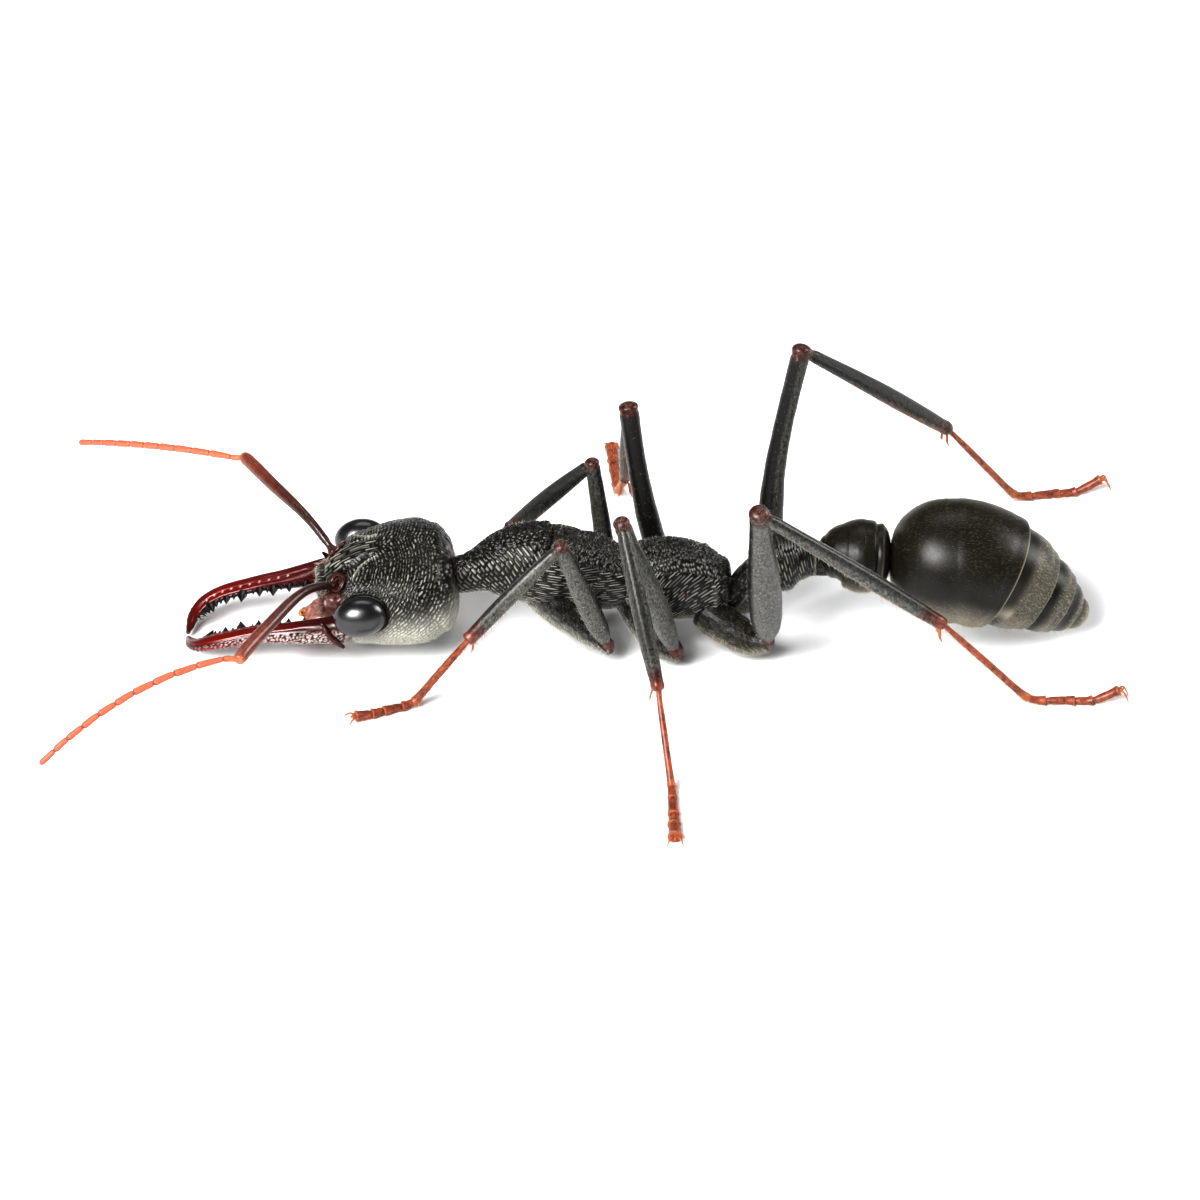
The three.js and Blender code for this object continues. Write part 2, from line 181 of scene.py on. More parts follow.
def upright(names, xs):
    """The middles, half widths and half heights of upright sections of CAD nodes."""
    corners = np.concatenate([cad(name)[0] for name in names])
    middle = (corners.min(axis=0) + corners.max(axis=0)) / 2
    steps = [outline(names, np.array([x, middle[1], middle[2]]), AHEAD) for x in xs]
    return [np.array(column) for column in zip(*steps)]


def walk(names, start, heading, pace, reach=3.0):
    """Steps through a bent CAD piece, giving the middle and half sizes at each."""
    place = np.array(start, dtype=float)
    heading = unit(heading)
    steps = []
    while len(steps) < 200:
        found = outline(names, place, heading, reach)
        if found is None:
            break
        if steps:
            heading = unit(heading + unit(found[0] - steps[-1][0]))
        steps.append(found)
        place = found[0] + pace * heading
    return steps


def long_axis(name):
    """A long CAD node's corners, their middle and its direction."""
    corners, _ = cad(name)
    middle = corners.mean(axis=0)
    return corners, middle, np.linalg.svd(corners - middle, full_matrices=False)[2][0]


def ends(name):
    """The two ends of a long CAD node."""
    corners, middle, axis = long_axis(name)
    along = (corners - middle) @ axis
    return middle + axis * along.min(), middle + axis * along.max()


def straight(name):
    """The lower and the upper end of a straight CAD piece, on its middle line."""
    corners, middle, axis = long_axis(name)
    axis = axis * np.sign(axis[2])
    up = UP if axis[2] < 0.7 else AHEAD
    reach = axis * ((corners - middle) @ axis).max()
    low, high = (outline([name], middle + reach * share, axis, 3.0, up)[0] for share in (-0.4, 0.4))
    axis = unit(high - low)
    along = (corners - low) @ axis
    return low + axis * along.min(), low + axis * along.max()


# ---------------------------------------------------------------- shells of rings
class Shell:
    """A closed surface of rings round a spine. Angle 0 is the spine's side, a quarter turn its
    top, where rise is 1. along runs from 0 to 1 down the spine, and ahead and behind are how far
    it is to the two ends. marks holds values for the materials, one for each point of the grid."""

    def __init__(self, spine, wide, tall, caps, along, around, cap_rings=8, square=2.0, up=UP, facing=None,
                 blunt=2.0):
        line = resample(spine, along)
        ahead = unit(np.gradient(line, axis=0) if facing is None else resample(facing, along))
        side = unit(np.cross(ahead, np.asarray(up, dtype=float)))
        top = np.cross(side, ahead)
        bend = np.linspace(0, pi / 2, cap_rings, endpoint=False)[1:]
        ring = np.concatenate([0 * bend, np.arange(along), 0 * bend + along - 1]).astype(int)
        run, rise = np.cos(bend) ** (2 / blunt), np.sin(bend) ** (2 / blunt)
        beyond = np.concatenate([-caps[0] * run, np.zeros(along), caps[1] * run[::-1]])
        scale = np.concatenate([rise, np.ones(along), rise[::-1]])
        angle = 2 * pi * np.arange(around) / around
        out = np.sign(np.cos(angle)) * np.abs(np.cos(angle)) ** (2 / square)
        rise = np.sign(np.sin(angle)) * np.abs(np.sin(angle)) ** (2 / square)
        width = (resample(wide, along)[ring] * scale)[:, None, None]
        height = (resample(tall, along)[ring] * scale)[:, None, None]
        centre = line[ring] + ahead[ring] * beyond[:, None]
        self.grid = (centre[:, None] + side[ring][:, None] * width * out[None, :, None]
                     + top[ring][:, None] * height * rise[None, :, None])
        self.poles = np.array([line[0] - ahead[0] * caps[0], line[-1] + ahead[-1] * caps[1]])
        length = np.concatenate([[0], np.cumsum(np.linalg.norm(np.diff(centre, axis=0), axis=1))])
        self.angle = np.broadcast_to(angle[None, :], self.grid.shape[:2])
        self.along = np.broadcast_to((length / length[-1])[:, None], self.grid.shape[:2])
        self.rise = np.sin(self.angle)
        self.ahead, self.behind = self.along * length[-1], (1 - self.along) * length[-1]
        blank = np.zeros(self.grid.shape[:2])
        self.marks = {"along": self.along, "mark": blank, "dark": blank}

    def normals(self):
        forward = np.gradient(self.grid, axis=0)
        round_it = np.roll(self.grid, -1, axis=1) - np.roll(self.grid, 1, axis=1)
        return unit(np.cross(forward, round_it))

    def unrolled(self):
        """How far each point lies along the surface, and how far down from its top middle."""
        forward = np.linalg.norm(np.diff(self.grid, axis=0), axis=-1).mean(axis=1)
        along = np.concatenate([[0], np.cumsum(forward)])[:, None]
        steps = np.linalg.norm(np.roll(self.grid, -1, axis=1) - self.grid, axis=-1)
        run = np.cumsum(steps, axis=1) - steps
        run = run - run[:, [self.grid.shape[1] // 4]]
        total = steps.sum(axis=1, keepdims=True)
        down = np.abs((run + total / 2) % total - total / 2)
        return np.broadcast_to(along, down.shape), down

    def sculpt(self, height):
        """Moves each point out along its normal."""
        fade = smoothstep(0, 0.02, self.along) * smoothstep(1, 0.98, self.along)
        self.grid = self.grid + self.normals() * (height * fade)[..., None]

    def tint(self, value):
        """Gives the whole shell one mark."""
        self.marks["mark"] = np.full(self.grid.shape[:2], value)

    def faces(self, first=0):
        """Its quads, and the triangles that close its two ends."""
        rings, around = self.grid.shape[:2]
        here = np.arange(around)
        after = (here + 1) % around
        row = first + np.arange(rings - 1)[:, None] * around
        quads = np.stack([row + here, row + around + here, row + around + after, row + after], -1)
        front = first + rings * around
        last = first + (rings - 1) * around
        fan = np.stack([here + first, after + first, np.full(around, front)], -1)
        back = np.stack([after + last, here + last, np.full(around, front + 1)], -1)
        return quads.reshape(-1, 4), np.concatenate([fan, back])

    def corners(self):
        return np.concatenate([self.grid.reshape(-1, 3), self.poles])

    def mark_values(self, key):
        values = np.asarray(self.marks[key], dtype=float)
        return np.concatenate([values.ravel(), [values[0].mean(), values[-1].mean()]])


def make_mesh(name, corners, *face_sets):
    """A smooth mesh from corners in millimetres and sets of faces, each with one face size."""
    mesh = bpy.data.meshes.new(name)
    loops = np.concatenate([faces.ravel() for faces in face_sets])
    sizes = np.concatenate([np.full(len(faces), faces.shape[1]) for faces in face_sets])
    starts = np.concatenate([[0], np.cumsum(sizes)[:-1]])
    mesh.vertices.add(len(corners))
    mesh.vertices.foreach_set("co", (corners * MM).ravel())
    mesh.loops.add(len(loops))
    mesh.loops.foreach_set("vertex_index", loops.astype(np.int32))
    mesh.polygons.add(len(sizes))
    mesh.polygons.foreach_set("loop_start", starts.astype(np.int32))
    mesh.polygons.foreach_set("use_smooth", np.ones(len(sizes), dtype=bool))
    mesh.update(calc_edges=True)
    return mesh


def add_object(name, data):
    """Puts a mesh, a camera or a light in the scene."""
    added = bpy.data.objects.new(name, data)
    bpy.context.scene.collection.objects.link(added)
    return added


def add_piece(name, mesh, material, stands_for=()):
    """Puts a mesh in the scene as a piece that may replace CAD nodes."""
    piece = add_object(name, mesh)
    mesh.materials.append(material)
    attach(piece, "root")
    if stands_for:
        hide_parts(*stands_for)


def add_shells(name, shells, material, stands_for=()):
    """One piece from one shell or several."""
    corners, quads, fans = [], [], []
    first = 0
    for shell in shells:
        quad, fan = shell.faces(first)
        corners.append(shell.corners())
        quads.append(quad)
        fans.append(fan)
        first += len(corners[-1])
    mesh = make_mesh(name, np.concatenate(corners), np.concatenate(quads), np.concatenate(fans))
    for key in ("along", "mark", "dark"):
        values = np.concatenate([shell.mark_values(key) for shell in shells])
        mesh.attributes.new(key, "FLOAT", "POINT").data.foreach_set("value", values)
    add_piece(name, mesh, material, stands_for)


# ---------------------------------------------------------------- hairs
# What a coat's weight may depend on: where the skin is, its normal, how far along its shell
# it lies and how far up its side.
Skin = namedtuple("Skin", "place normal along rise")


class Coat:
    """Hairs for one joined mesh. Each hair is a closed three-sided spike."""

    def __init__(self, name, material, slot):
        self.name, self.material, self.slot = name, material, slot
        self.rows = []
        self.skins = 0

    def comb(self, shell, density, length, lean=70, sway=18, thick=0.009, where=None):
        """Plants density hairs for each square mm where the weight allows. lean is how far
        they tip from upright towards the shell's far end, in degrees, and sway its scatter."""
        grid = shell.grid
        ahead = grid[1:] - grid[:-1]
        ahead = (ahead + np.roll(ahead, -1, axis=1)) / 2
        across = np.roll(grid, -1, axis=1) - grid
        across = (across[1:] + across[:-1]) / 2
        normal = np.cross(ahead, across)
        weight = np.linalg.norm(normal, axis=-1)
        normal = unit(normal)
        if where is not None:
            skin = Skin(grid[:-1], normal, shell.along[:-1], shell.rise[:-1])
            weight = weight * np.clip(where(skin), 0, 1)
        count = int(density * weight.sum())
        if count == 0:
            return
        pick = rng.choice(weight.size, size=count, p=(weight / weight.sum()).ravel())
        ring, turn = np.divmod(pick, grid.shape[1])
        share = rng.random((count, 2))
        root = grid[ring, turn] + ahead[ring, turn] * share[:, :1] + across[ring, turn] * share[:, 1:]
        normal = normal[ring, turn]
        lie = unit(ahead[ring, turn])
        swing = np.radians(rng.normal(0, sway, count))[:, None]
        lie = unit(lie * np.cos(swing) + np.cross(normal, lie) * np.sin(swing))
        tip_over = np.radians(np.clip(lean + rng.normal(0, sway / 3, count), 0, 86))[:, None]
        stem = normal * np.cos(tip_over) + lie * np.sin(tip_over)
        long = length * rng.uniform(0.65, 1.25, count)[:, None]
        spot = np.stack([(ring + share[:, 0]) / grid.shape[0], (turn + share[:, 1]) / grid.shape[1]], -1)
        patch = np.full((count, 1), self.skins)
        thickness = thick * rng.uniform(0.75, 1.2, count)[:, None]
        self.rows.append(np.hstack([root - normal * 0.006, stem, long, thickness, spot, patch]))
        self.skins += 1

    def finish(self):
        """Makes one mesh of all the hairs."""
        rows = np.concatenate(self.rows)
        root, stem, long, thick = rows[:, 0:3], rows[:, 3:6], rows[:, 6:7], rows[:, 7:8]
        side = unit(np.cross(stem, stem[:, [1, 2, 0]] + 0.3))
        top = np.cross(side, stem)
        points = np.empty((len(rows), 4, 3))
        for k in range(3):
            turn = 2 * pi * k / 3
            points[:, k] = root + (side * cos(turn) + top * sin(turn)) * thick / 2
        points[:, 3] = root + stem * long
        points[..., 2] = np.maximum(points[..., 2], 0.002)
        pattern = np.array([[0, 2, 1], [0, 1, 3], [1, 2, 3], [2, 0, 3]])
        faces = (np.arange(len(rows))[:, None, None] * 4 + pattern[None]).reshape(-1, 3)
        mesh = make_mesh(self.name, points.reshape(-1, 3), faces)
        self.unwrap(mesh, faces, rows[:, 8:10], rows[:, 10])
        add_piece(self.name, mesh, self.material)

    def unwrap(self, mesh, faces, spot, patch):
        """Each hair is a patch 0.003 across at its root's place on its own skin's unwrap."""
        columns = int(np.ceil(np.sqrt(self.skins)))
        corner = np.stack([patch % columns, patch // columns], -1) / columns
        centre = corner + (0.04 + 0.9 * spot) / columns
        offset = 0.003 * np.array([[0, 0], [1, 0], [1, 1], [0, 1]])
        places = (centre[:, None] + offset[None]).reshape(-1, 2)
        layer = mesh.uv_layers.new(name="OFBake")
        layer.data.foreach_set("uv", places[faces.ravel()].ravel())


# ---------------------------------------------------------------- materials
class Paint:
    """A material built from nodes. Its patterns are laid out in millimetres."""

    def __init__(self, name, roughness, specular=0.5):
        self.material = bpy.data.materials.new(name)
        self.material.use_nodes = True
        self.nodes = self.material.node_tree.nodes
        self.links = self.material.node_tree.links
        self.shader = self.nodes["Principled BSDF"]
        self.shader.inputs["Roughness"].default_value = roughness
        self.shader.inputs["Specular IOR Level"].default_value = specular
        coordinates = self.nodes.new("ShaderNodeTexCoord")
        self.place = self.node("ShaderNodeVectorMath", operation="SCALE").outputs[0]
        self.links.new(coordinates.outputs["Object"], self.place.node.inputs[0])
        self.place.node.inputs["Scale"].default_value = 1 / MM

    def node(self, kind, inputs=None, **settings):
        node = self.nodes.new(kind)
        for key, value in settings.items():
            setattr(node, key, value)
        for key, value in (inputs or {}).items():
            if isinstance(value, bpy.types.NodeSocket):
                self.links.new(value, node.inputs[key])
            else:
                node.inputs[key].default_value = value
        return node

    def noise(self, size, detail=3.0, stretch=None):
        place = self.place
        if stretch:
            stretched = self.node("ShaderNodeVectorMath", {0: place, 1: stretch}, operation="MULTIPLY")
            place = stretched.outputs[0]
        inputs = {"Vector": place, "Scale": 1 / size, "Detail": detail}
        return self.node("ShaderNodeTexNoise", inputs).outputs["Fac"]

    def grains(self, size):
        inputs = {"Vector": self.place, "Scale": 1 / size}
        return self.node("ShaderNodeTexVoronoi", inputs).outputs["Distance"]

    def mark(self, name):
        return self.node("ShaderNodeAttribute", attribute_name=name).outputs["Fac"]

    def ramp(self, source, stops):
        node = self.node("ShaderNodeValToRGB", {"Fac": source})
        elements = node.color_ramp.elements
        while len(elements) < len(stops):
            elements.new(0.5)
        for element, (position, colour) in zip(elements, stops):
            element.position = position
            element.color = (*colour, 1)
        return node.outputs["Color"]

    def mix(self, factor, first, second):
        node = self.node("ShaderNodeMix", data_type="RGBA")
        for index, value in ((0, factor), (6, first), (7, second)):
            if isinstance(value, bpy.types.NodeSocket):
                self.links.new(value, node.inputs[index])
            else:
                node.inputs[index].default_value = (*value, 1) if index else value
        return node.outputs[2]

    def scale(self, source, factor, offset=0.0):
        inputs = {0: source, 1: factor, 2: offset}
        return self.node("ShaderNodeMath", inputs, operation="MULTIPLY_ADD", use_clamp=True).outputs[0]

    def colour(self, source):
        self.links.new(source, self.shader.inputs["Base Color"])

    def roughness(self, source, low, high):
        mapped = self.node("ShaderNodeMapRange", {"Value": source, "To Min": low, "To Max": high})
        self.links.new(mapped.outputs["Result"], self.shader.inputs["Roughness"])

    def bump(self, height, depth, strength):
        inputs = {"Height": height, "Distance": depth * MM, "Strength": strength}
        self.links.new(self.node("ShaderNodeBump", inputs).outputs["Normal"], self.shader.inputs["Normal"])

    def soften(self, weight):
        """Lets a little light in, as thin red cuticle does."""
        self.shader.inputs["Subsurface Weight"].default_value = weight
        self.shader.inputs["Subsurface Radius"].default_value = (0.0002, 0.00008, 0.00003)


def cuticle_paint():
    """Black shell whose grain tops are painted pale, as painted highlights and pale down, and a dark red
    tinge where it is marked.
    """
    paint = Paint("ant_cuticle", 0.28, specular=0.3)
    fine = paint.noise(0.03, 4)
    black = paint.mix(paint.noise(0.5), (0.0035, 0.003, 0.002), (0.009, 0.0078, 0.005))
    tinged = paint.mix(paint.mark("dark"), black, (0.05, 0.01, 0.007))
    # The mark's pale grey: painted highlights on grain tops and ridges, partly pale down.
    pale = paint.mix(paint.noise(0.2), (0.32, 0.312, 0.27), (0.52, 0.51, 0.45))
    paint.colour(paint.mix(paint.mark("mark"), tinged, pale))
    paint.roughness(fine, 0.2, 0.4)
    paint.bump(fine, 0.003, 0.6)
    return paint.material


def gaster_paint():
    """Glossy brown-black plates with a warm tinge, tiny pits and thin pale rims."""
    paint = Paint("ant_gaster", 0.3, specular=0.35)
    cloud = paint.noise(0.9)
    pits = paint.grains(0.08)
    dark = paint.mix(cloud, (0.004, 0.0035, 0.002), (0.012, 0.01, 0.0055))
    paint.colour(paint.mix(paint.mark("mark"), dark, (0.36, 0.33, 0.25)))
    paint.roughness(paint.noise(0.05, 4), 0.28, 0.48)
    paint.bump(paint.ramp(pits, [(0.0, (0, 0, 0)), (0.2, (1, 1, 1))]), 0.006, 0.5)
    return paint.material


def leg_paint():
    """Grey legs with fine down and a black outer side, that turn dark red at the knees and
    orange-red at the shin's end. The dark mark also darkens the far legs, as painted shade."""
    paint = Paint("ant_leg", 0.32, specular=0.4)
    grain = paint.noise(0.055, 4, stretch=(1, 1, 0.6))
    grey = paint.mix(paint.scale(grain, 2.2, -0.72), (0.012, 0.0115, 0.009), (0.15, 0.148, 0.13))
    black_side_and_shade = paint.mix(paint.mark("dark"), grey, (0.005, 0.0045, 0.0035))
    red = paint.ramp(paint.mark("mark"), [
        (0.0, (0.03, 0.012, 0.008)), (0.4, (0.035, 0.009, 0.006)), (0.7, (0.085, 0.02, 0.014)),
        (1.0, (0.22, 0.055, 0.025))])
    spotted = paint.mix(paint.scale(paint.noise(0.12, 4), 3.0, -1.45), red, (0.17, 0.085, 0.06))
    paint.colour(paint.mix(paint.scale(paint.mark("mark"), 4.0), black_side_and_shade, spotted))
    paint.roughness(grain, 0.22, 0.42)
    paint.bump(grain, 0.008, 0.8)
    return paint.material


def foot_paint():
    """Brick-red foot joints, paler at their ends."""
    paint = Paint("ant_foot", 0.4, specular=0.5)
    shade = paint.noise(0.16, 4)
    red = paint.mix(paint.scale(shade, 2.4, -0.7), (0.06, 0.012, 0.007), (0.3, 0.07, 0.03))
    paint.colour(paint.mix(paint.mark("mark"), red, (0.38, 0.12, 0.045)))
    paint.soften(0.1)
    paint.bump(paint.noise(0.03, 4), 0.005, 0.8)
    return paint.material


def scape_paint():
    """Red-brown, darker at the root, with a paler ring at the elbow."""
    paint = Paint("ant_scape", 0.3, specular=0.5)
    run = paint.ramp(paint.mark("along"), [
        (0.0, (0.05, 0.006, 0.004)), (0.1, (0.02, 0.008, 0.006)), (0.3, (0.035, 0.014, 0.009)),
        (0.6, (0.1, 0.026, 0.016)), (0.9, (0.2, 0.05, 0.03)), (0.96, (0.26, 0.08, 0.045)),
        (1.0, (0.36, 0.13, 0.065))])
    paint.colour(paint.mix(paint.scale(paint.noise(0.2, 4), 1.6, -0.5), run, (0.03, 0.012, 0.008)))
    paint.bump(paint.noise(0.04, 4), 0.005, 0.7)
    return paint.material


def lash_paint():
    """Salmon-orange joints, darker at each constriction."""
    paint = Paint("ant_lash", 0.4, specular=0.45)
    run = paint.ramp(paint.mark("along"), [
        (0.0, (0.46, 0.17, 0.08)), (0.12, (0.46, 0.15, 0.08)), (1.0, (0.44, 0.13, 0.075))])
    streaks = paint.mix(paint.scale(paint.noise(0.12, 4), 0.5), run, (0.24, 0.06, 0.034))
    paint.colour(paint.mix(paint.mark("mark"), streaks, (0.14, 0.034, 0.018)))
    paint.soften(0.1)
    paint.bump(paint.noise(0.03, 4), 0.005, 0.8)
    return paint.material


def jaw_paint():
    """Deep red lacquer with pale pits, painted glints on its pores and a near-black outer edge."""
    paint = Paint("ant_jaw", 0.24, specular=0.4)
    run = paint.ramp(paint.mark("along"), [
        (0.0, (0.03, 0.006, 0.005)), (0.35, (0.09, 0.006, 0.004)), (0.7, (0.16, 0.008, 0.005)),
        (1.0, (0.05, 0.006, 0.004))])
    shade = paint.mix(paint.scale(paint.noise(0.35), 0.5), run, (0.02, 0.003, 0.0025))
    edged = paint.mix(paint.mark("dark"), shade, (0.004, 0.002, 0.002))
    paint.colour(paint.mix(paint.mark("mark"), edged, (0.74, 0.66, 0.62)))
    paint.roughness(paint.noise(0.08, 4), 0.14, 0.3)
    paint.bump(paint.noise(0.05, 4), 0.004, 0.7)
    return paint.material


def tooth_paint():
    paint = Paint("ant_tooth", 0.25, specular=0.6)
    paint.colour(paint.ramp(paint.mark("along"), [
        (0.0, (0.03, 0.006, 0.005)), (0.45, (0.006, 0.004, 0.004)), (1.0, (0.005, 0.004, 0.004))]))
    paint.bump(paint.noise(0.04, 3), 0.004, 0.5)
    return paint.material


def eye_paint():
    """Black eye whose facets scatter the highlight."""
    paint = Paint("ant_eye", 0.27, specular=1.0)
    facets = paint.grains(0.03)
    paint.colour(paint.mix(facets, (0.004, 0.004, 0.0045), (0.012, 0.012, 0.013)))
    paint.bump(facets, 0.003, 0.5)
    return paint.material


def mouth_paint():
    """Dark red plates that turn brown-pink and amber as the mark rises."""
    paint = Paint("ant_mouth", 0.26, specular=0.5)
    shade = paint.noise(0.12, 4)
    run = paint.ramp(paint.mark("mark"), [
        (0.0, (0.035, 0.004, 0.003)), (0.3, (0.06, 0.012, 0.009)), (0.5, (0.3, 0.17, 0.15)),
        (0.8, (0.4, 0.1, 0.015)), (1.0, (0.7, 0.45, 0.2))])
    paint.colour(paint.mix(paint.scale(shade, 2.2, -0.8), run, (0.06, 0.014, 0.008)))
    paint.soften(0.08)
    paint.bump(paint.noise(0.05, 4), 0.008, 0.8)
    return paint.material


def hair_paint(name, root, tip):
    paint = Paint(name, 0.35, specular=0.5)
    paint.colour(paint.mix(paint.noise(0.4), root, tip))
    return paint.material


def floor_paint():
    paint = Paint("white_floor", 0.6, specular=0.2)
    paint.colour(paint.mix(paint.noise(4.0), (0.86, 0.87, 0.88), (0.9, 0.9, 0.9)))
    return paint.material


# ---------------------------------------------------------------- head
# The head's own frame starts midway between the eyes. Its x runs back to the neck, y to the
# ant's right and z up out of the crown.
def head_frame():
    left, _ = cad("eye_left")
    right, _ = cad("eye_right")
    side = unit(right.mean(axis=0) - left.mean(axis=0))
    back = np.linalg.svd(left - left.mean(axis=0), full_matrices=False)[2][0]
    back = unit(back - side * (back @ side))
    back = back * np.sign(back[0])
    return (left.mean(axis=0) + right.mean(axis=0)) / 2, np.array([back, side, np.cross(back, side)])


HEAD_ORIGIN, HEAD_AXES = head_frame()


def in_head(points):
    return (np.asarray(points) - HEAD_ORIGIN) @ HEAD_AXES.T


def from_head(points):
    return np.asarray(points) @ HEAD_AXES + HEAD_ORIGIN


EYE_SIDE = in_head(cad("eye_right")[0].mean(axis=0))[1]     # from the middle line to an eye
EYE_HALF = np.ptp(in_head(cad("eye_left")[0]), axis=0) / 2  # along, out and tall
SOCKET_RING = np.array([-0.53, 0.79, 0.5])   # the middle of the right socket's ring
SOCKET = np.array([-0.6, 0.7, 0.34])                        # where the right feeler leaves
HEAD_SQUARE = 2.45     # how boxy its outline is; 2 is an ellipse
# The sharp ridge round the hollow behind a socket, seen from above.
HOLLOW_RIM = [(-0.08, 1.0), (-0.02, 0.9), (0.06, 0.78), (0.13, 0.69), (0.24, 0.61), (0.4, 0.53), (0.6, 0.47)]


def head_shell():
    """The head capsule, from sections of the CAD head. The eyes cut into it, so the half width is
    worked out from the parts of each section above and below them."""
    corners = in_head(cad("head")[0])
    back, front = corners[:, 0].max() - 0.5, corners[:, 0].min() + 0.28
    spine, wide, tall = [], [], []
    for x in np.linspace(back, front, 9):
        rim = in_head(section(["head"], from_head([x, 0, 0]), HEAD_AXES[0], 3.0))
        middle = (rim[:, 2].max() + rim[:, 2].min()) / 2
        half = np.ptp(rim[:, 2]) / 2
        rise = np.abs(rim[:, 2] - middle) / half
        usable = (rise < 0.93) & (rise > 0.05)
        width = np.abs(rim[:, 1]) / (1 - np.minimum(rise, 0.99) ** HEAD_SQUARE) ** (1 / HEAD_SQUARE)
        spine.append([x, 0, middle])
        wide.append(np.percentile(width[usable], 85))
        tall.append(half)
    shell = Shell(from_head(spine), wide, tall, (0.5, 0.28), 200, 500, 22, HEAD_SQUARE, HEAD_AXES[2])
    shell.grid = tuck_front(shell.grid)
    shell.poles = tuck_front(shell.poles)
    return shell


def tuck_front(points):
    """The head's front corners and its lower front lie further back than its lip."""
    p = in_head(points)
    squeeze = 0.62 * smoothstep(0.5, 1.15, np.abs(p[..., 1])) + 0.4 * smoothstep(0.2, -0.5, p[..., 2])
    reach = np.maximum(-0.1 - p[..., 0], 0)
    p[..., 0] += np.minimum(squeeze, 0.7) * reach**2 / (reach + 0.3)
    return from_head(p)


def tops_highlight(height, low=-0.1):
    """How much painted highlight, with some pale down, a relief from -1 to 1 gets: 0 below low, and 1 on its
    tops.
    """
    return smoothstep(low, 0.9, height)


def line_gap(x, y, points):
    """How far each place is from a line through points."""
    line = resample(points, 50)
    gaps = (x[..., None] - line[:, 0]) ** 2 + (y[..., None] - line[:, 1]) ** 2
    return np.sqrt(gaps.min(axis=-1))


def sculpt_head(shell):
    """Ridges round the feelers' sockets, long fine ones between them, and beyond rows of
    grains that keep to the same curves. The near side and the far side are alike."""
    p = in_head(shell.grid)
    x, y, z = p[..., 0], np.abs(p[..., 1]), p[..., 2]
    mirrored = np.stack([x, y, z], -1)
    upper = smoothstep(-0.3, 0.4, z)

    eye = np.linalg.norm((mirrored - [0, EYE_SIDE, 0]) / EYE_HALF, axis=-1)
    orbit = 0.02 * bell(eye - 1.16, 0.06) - 0.04 * bell(eye - 1.04, 0.04)
    outside = smoothstep(1.04, 1.2, eye)

    # The brow between the sockets is raised, with a groove along each side of it.
    edge = 0.42 - 0.1 * smoothstep(-0.5, 0.4, x)
    run = smoothstep(-0.85, -0.65, x) * smoothstep(0.6, 0.25, x) * upper
    brow = (0.07 * smoothstep(edge + 0.03, edge - 0.03, y) * smoothstep(0.9, 0.1, x)
            * smoothstep(-1.0, -0.8, x) * upper)
    groove = bell(y - 0.52 + 0.11 * smoothstep(0, 0.42, x), 0.065) * run
    furrow = -0.04 * bell(y, 0.04) * smoothstep(0.3, -0.2, x) * upper

    # Behind each socket is a hollow with a sharp curved ridge round its back.
    rim_gap = line_gap(x, y, HOLLOW_RIM)
    pit = np.linalg.norm(mirrored - SOCKET, axis=-1)
    rim = bell(rim_gap, 0.03) * (z > 0)
    hollow = smoothstep(0.62, 0.35, pit)

    clypeus = 0.06 * smoothstep(0.75, 0.6, y) * smoothstep(-0.95, -1.05, x) * smoothstep(-0.6, 0, z)
    seam = -0.05 * bell(x + 0.92, 0.04) * smoothstep(0.7, 0.55, y) * upper
    nape = 0.04 * bell(x - 2.42, 0.05)

    s, t = shell.unrolled()
    start = np.unravel_index(np.linalg.norm(mirrored - SOCKET_RING, axis=-1).argmin(), s.shape)
    back, down = s[start] - s, t - t[start]
    far = np.hypot(back, down)
    turn = np.arctan2(down, back)
    wander = ripple(p, 0.5, 1) * 0.3
    near = smoothstep(1.0, 0.6, far)
    between = smoothstep(edge + 0.02, edge - 0.02, y) * smoothstep(0.9, 0.4, x) * upper
    rounds = ridges(far / 0.08 + wander, turn * 5 * np.ceil(far), 3)
    lengthwise = ridges(t / 0.105 + wander, back / 0.4, 4, 0.08)
    row = far / 0.09 + wander + ripple(p, 0.15, 2) * 0.35
    grain = ridges(row, turn * (np.floor(row) + 0.5) * 0.6 + ripple(p, 0.12, 3) * 0.5, 5, 0.18)
    relief = between * lengthwise + (1 - between) * (near * rounds + (1 - near) * grain)
    low = smoothstep(0.3, -0.9, z)
    shell.sculpt((relief * 0.017 * (1 - 0.5 * groove) + ripple(p, 0.6, 9) * 0.012) * outside
                 + orbit + brow - 0.15 * groove + furrow + 0.05 * rim - 0.1 * hollow + clypeus + seam + nape)
    # Painted highlights, with pale down, on the grain tops and along each hollow's rim; the grooves and
    # hollows are left dark as painted shade.
    pale = tops_highlight(relief, 0.0) * (0.78 + 0.12 * between + 0.25 * ripple(p, 0.35, 4))
    pale = pale * (1 - groove) * (1 - 0.6 * hollow)
    white = 0.6 * low**2 + 0.3 * low * smoothstep(-1.2, -0.2, relief)
    shell.marks["mark"] = np.clip(pale * 0.85 + white + 0.5 * rim, 0, 1) * outside
    front = smoothstep(-0.45, -0.75, x) * smoothstep(0.35, 0.0, z)
    shell.marks["dark"] = front + 0.4 * hollow * bell(pit, 0.3)


def eye_shell(side):
    """A smooth oval as wide, tall and deep as the CAD eye."""
    centre = from_head([0, side * EYE_SIDE, 0])
    line = [centre - HEAD_AXES[0] * 0.001, centre + HEAD_AXES[0] * 0.001]
    long, wide, tall = EYE_HALF
    return Shell(line, [wide] * 2, [tall] * 2, [long] * 2, 2, 80, 30, 2.0, HEAD_AXES[2])


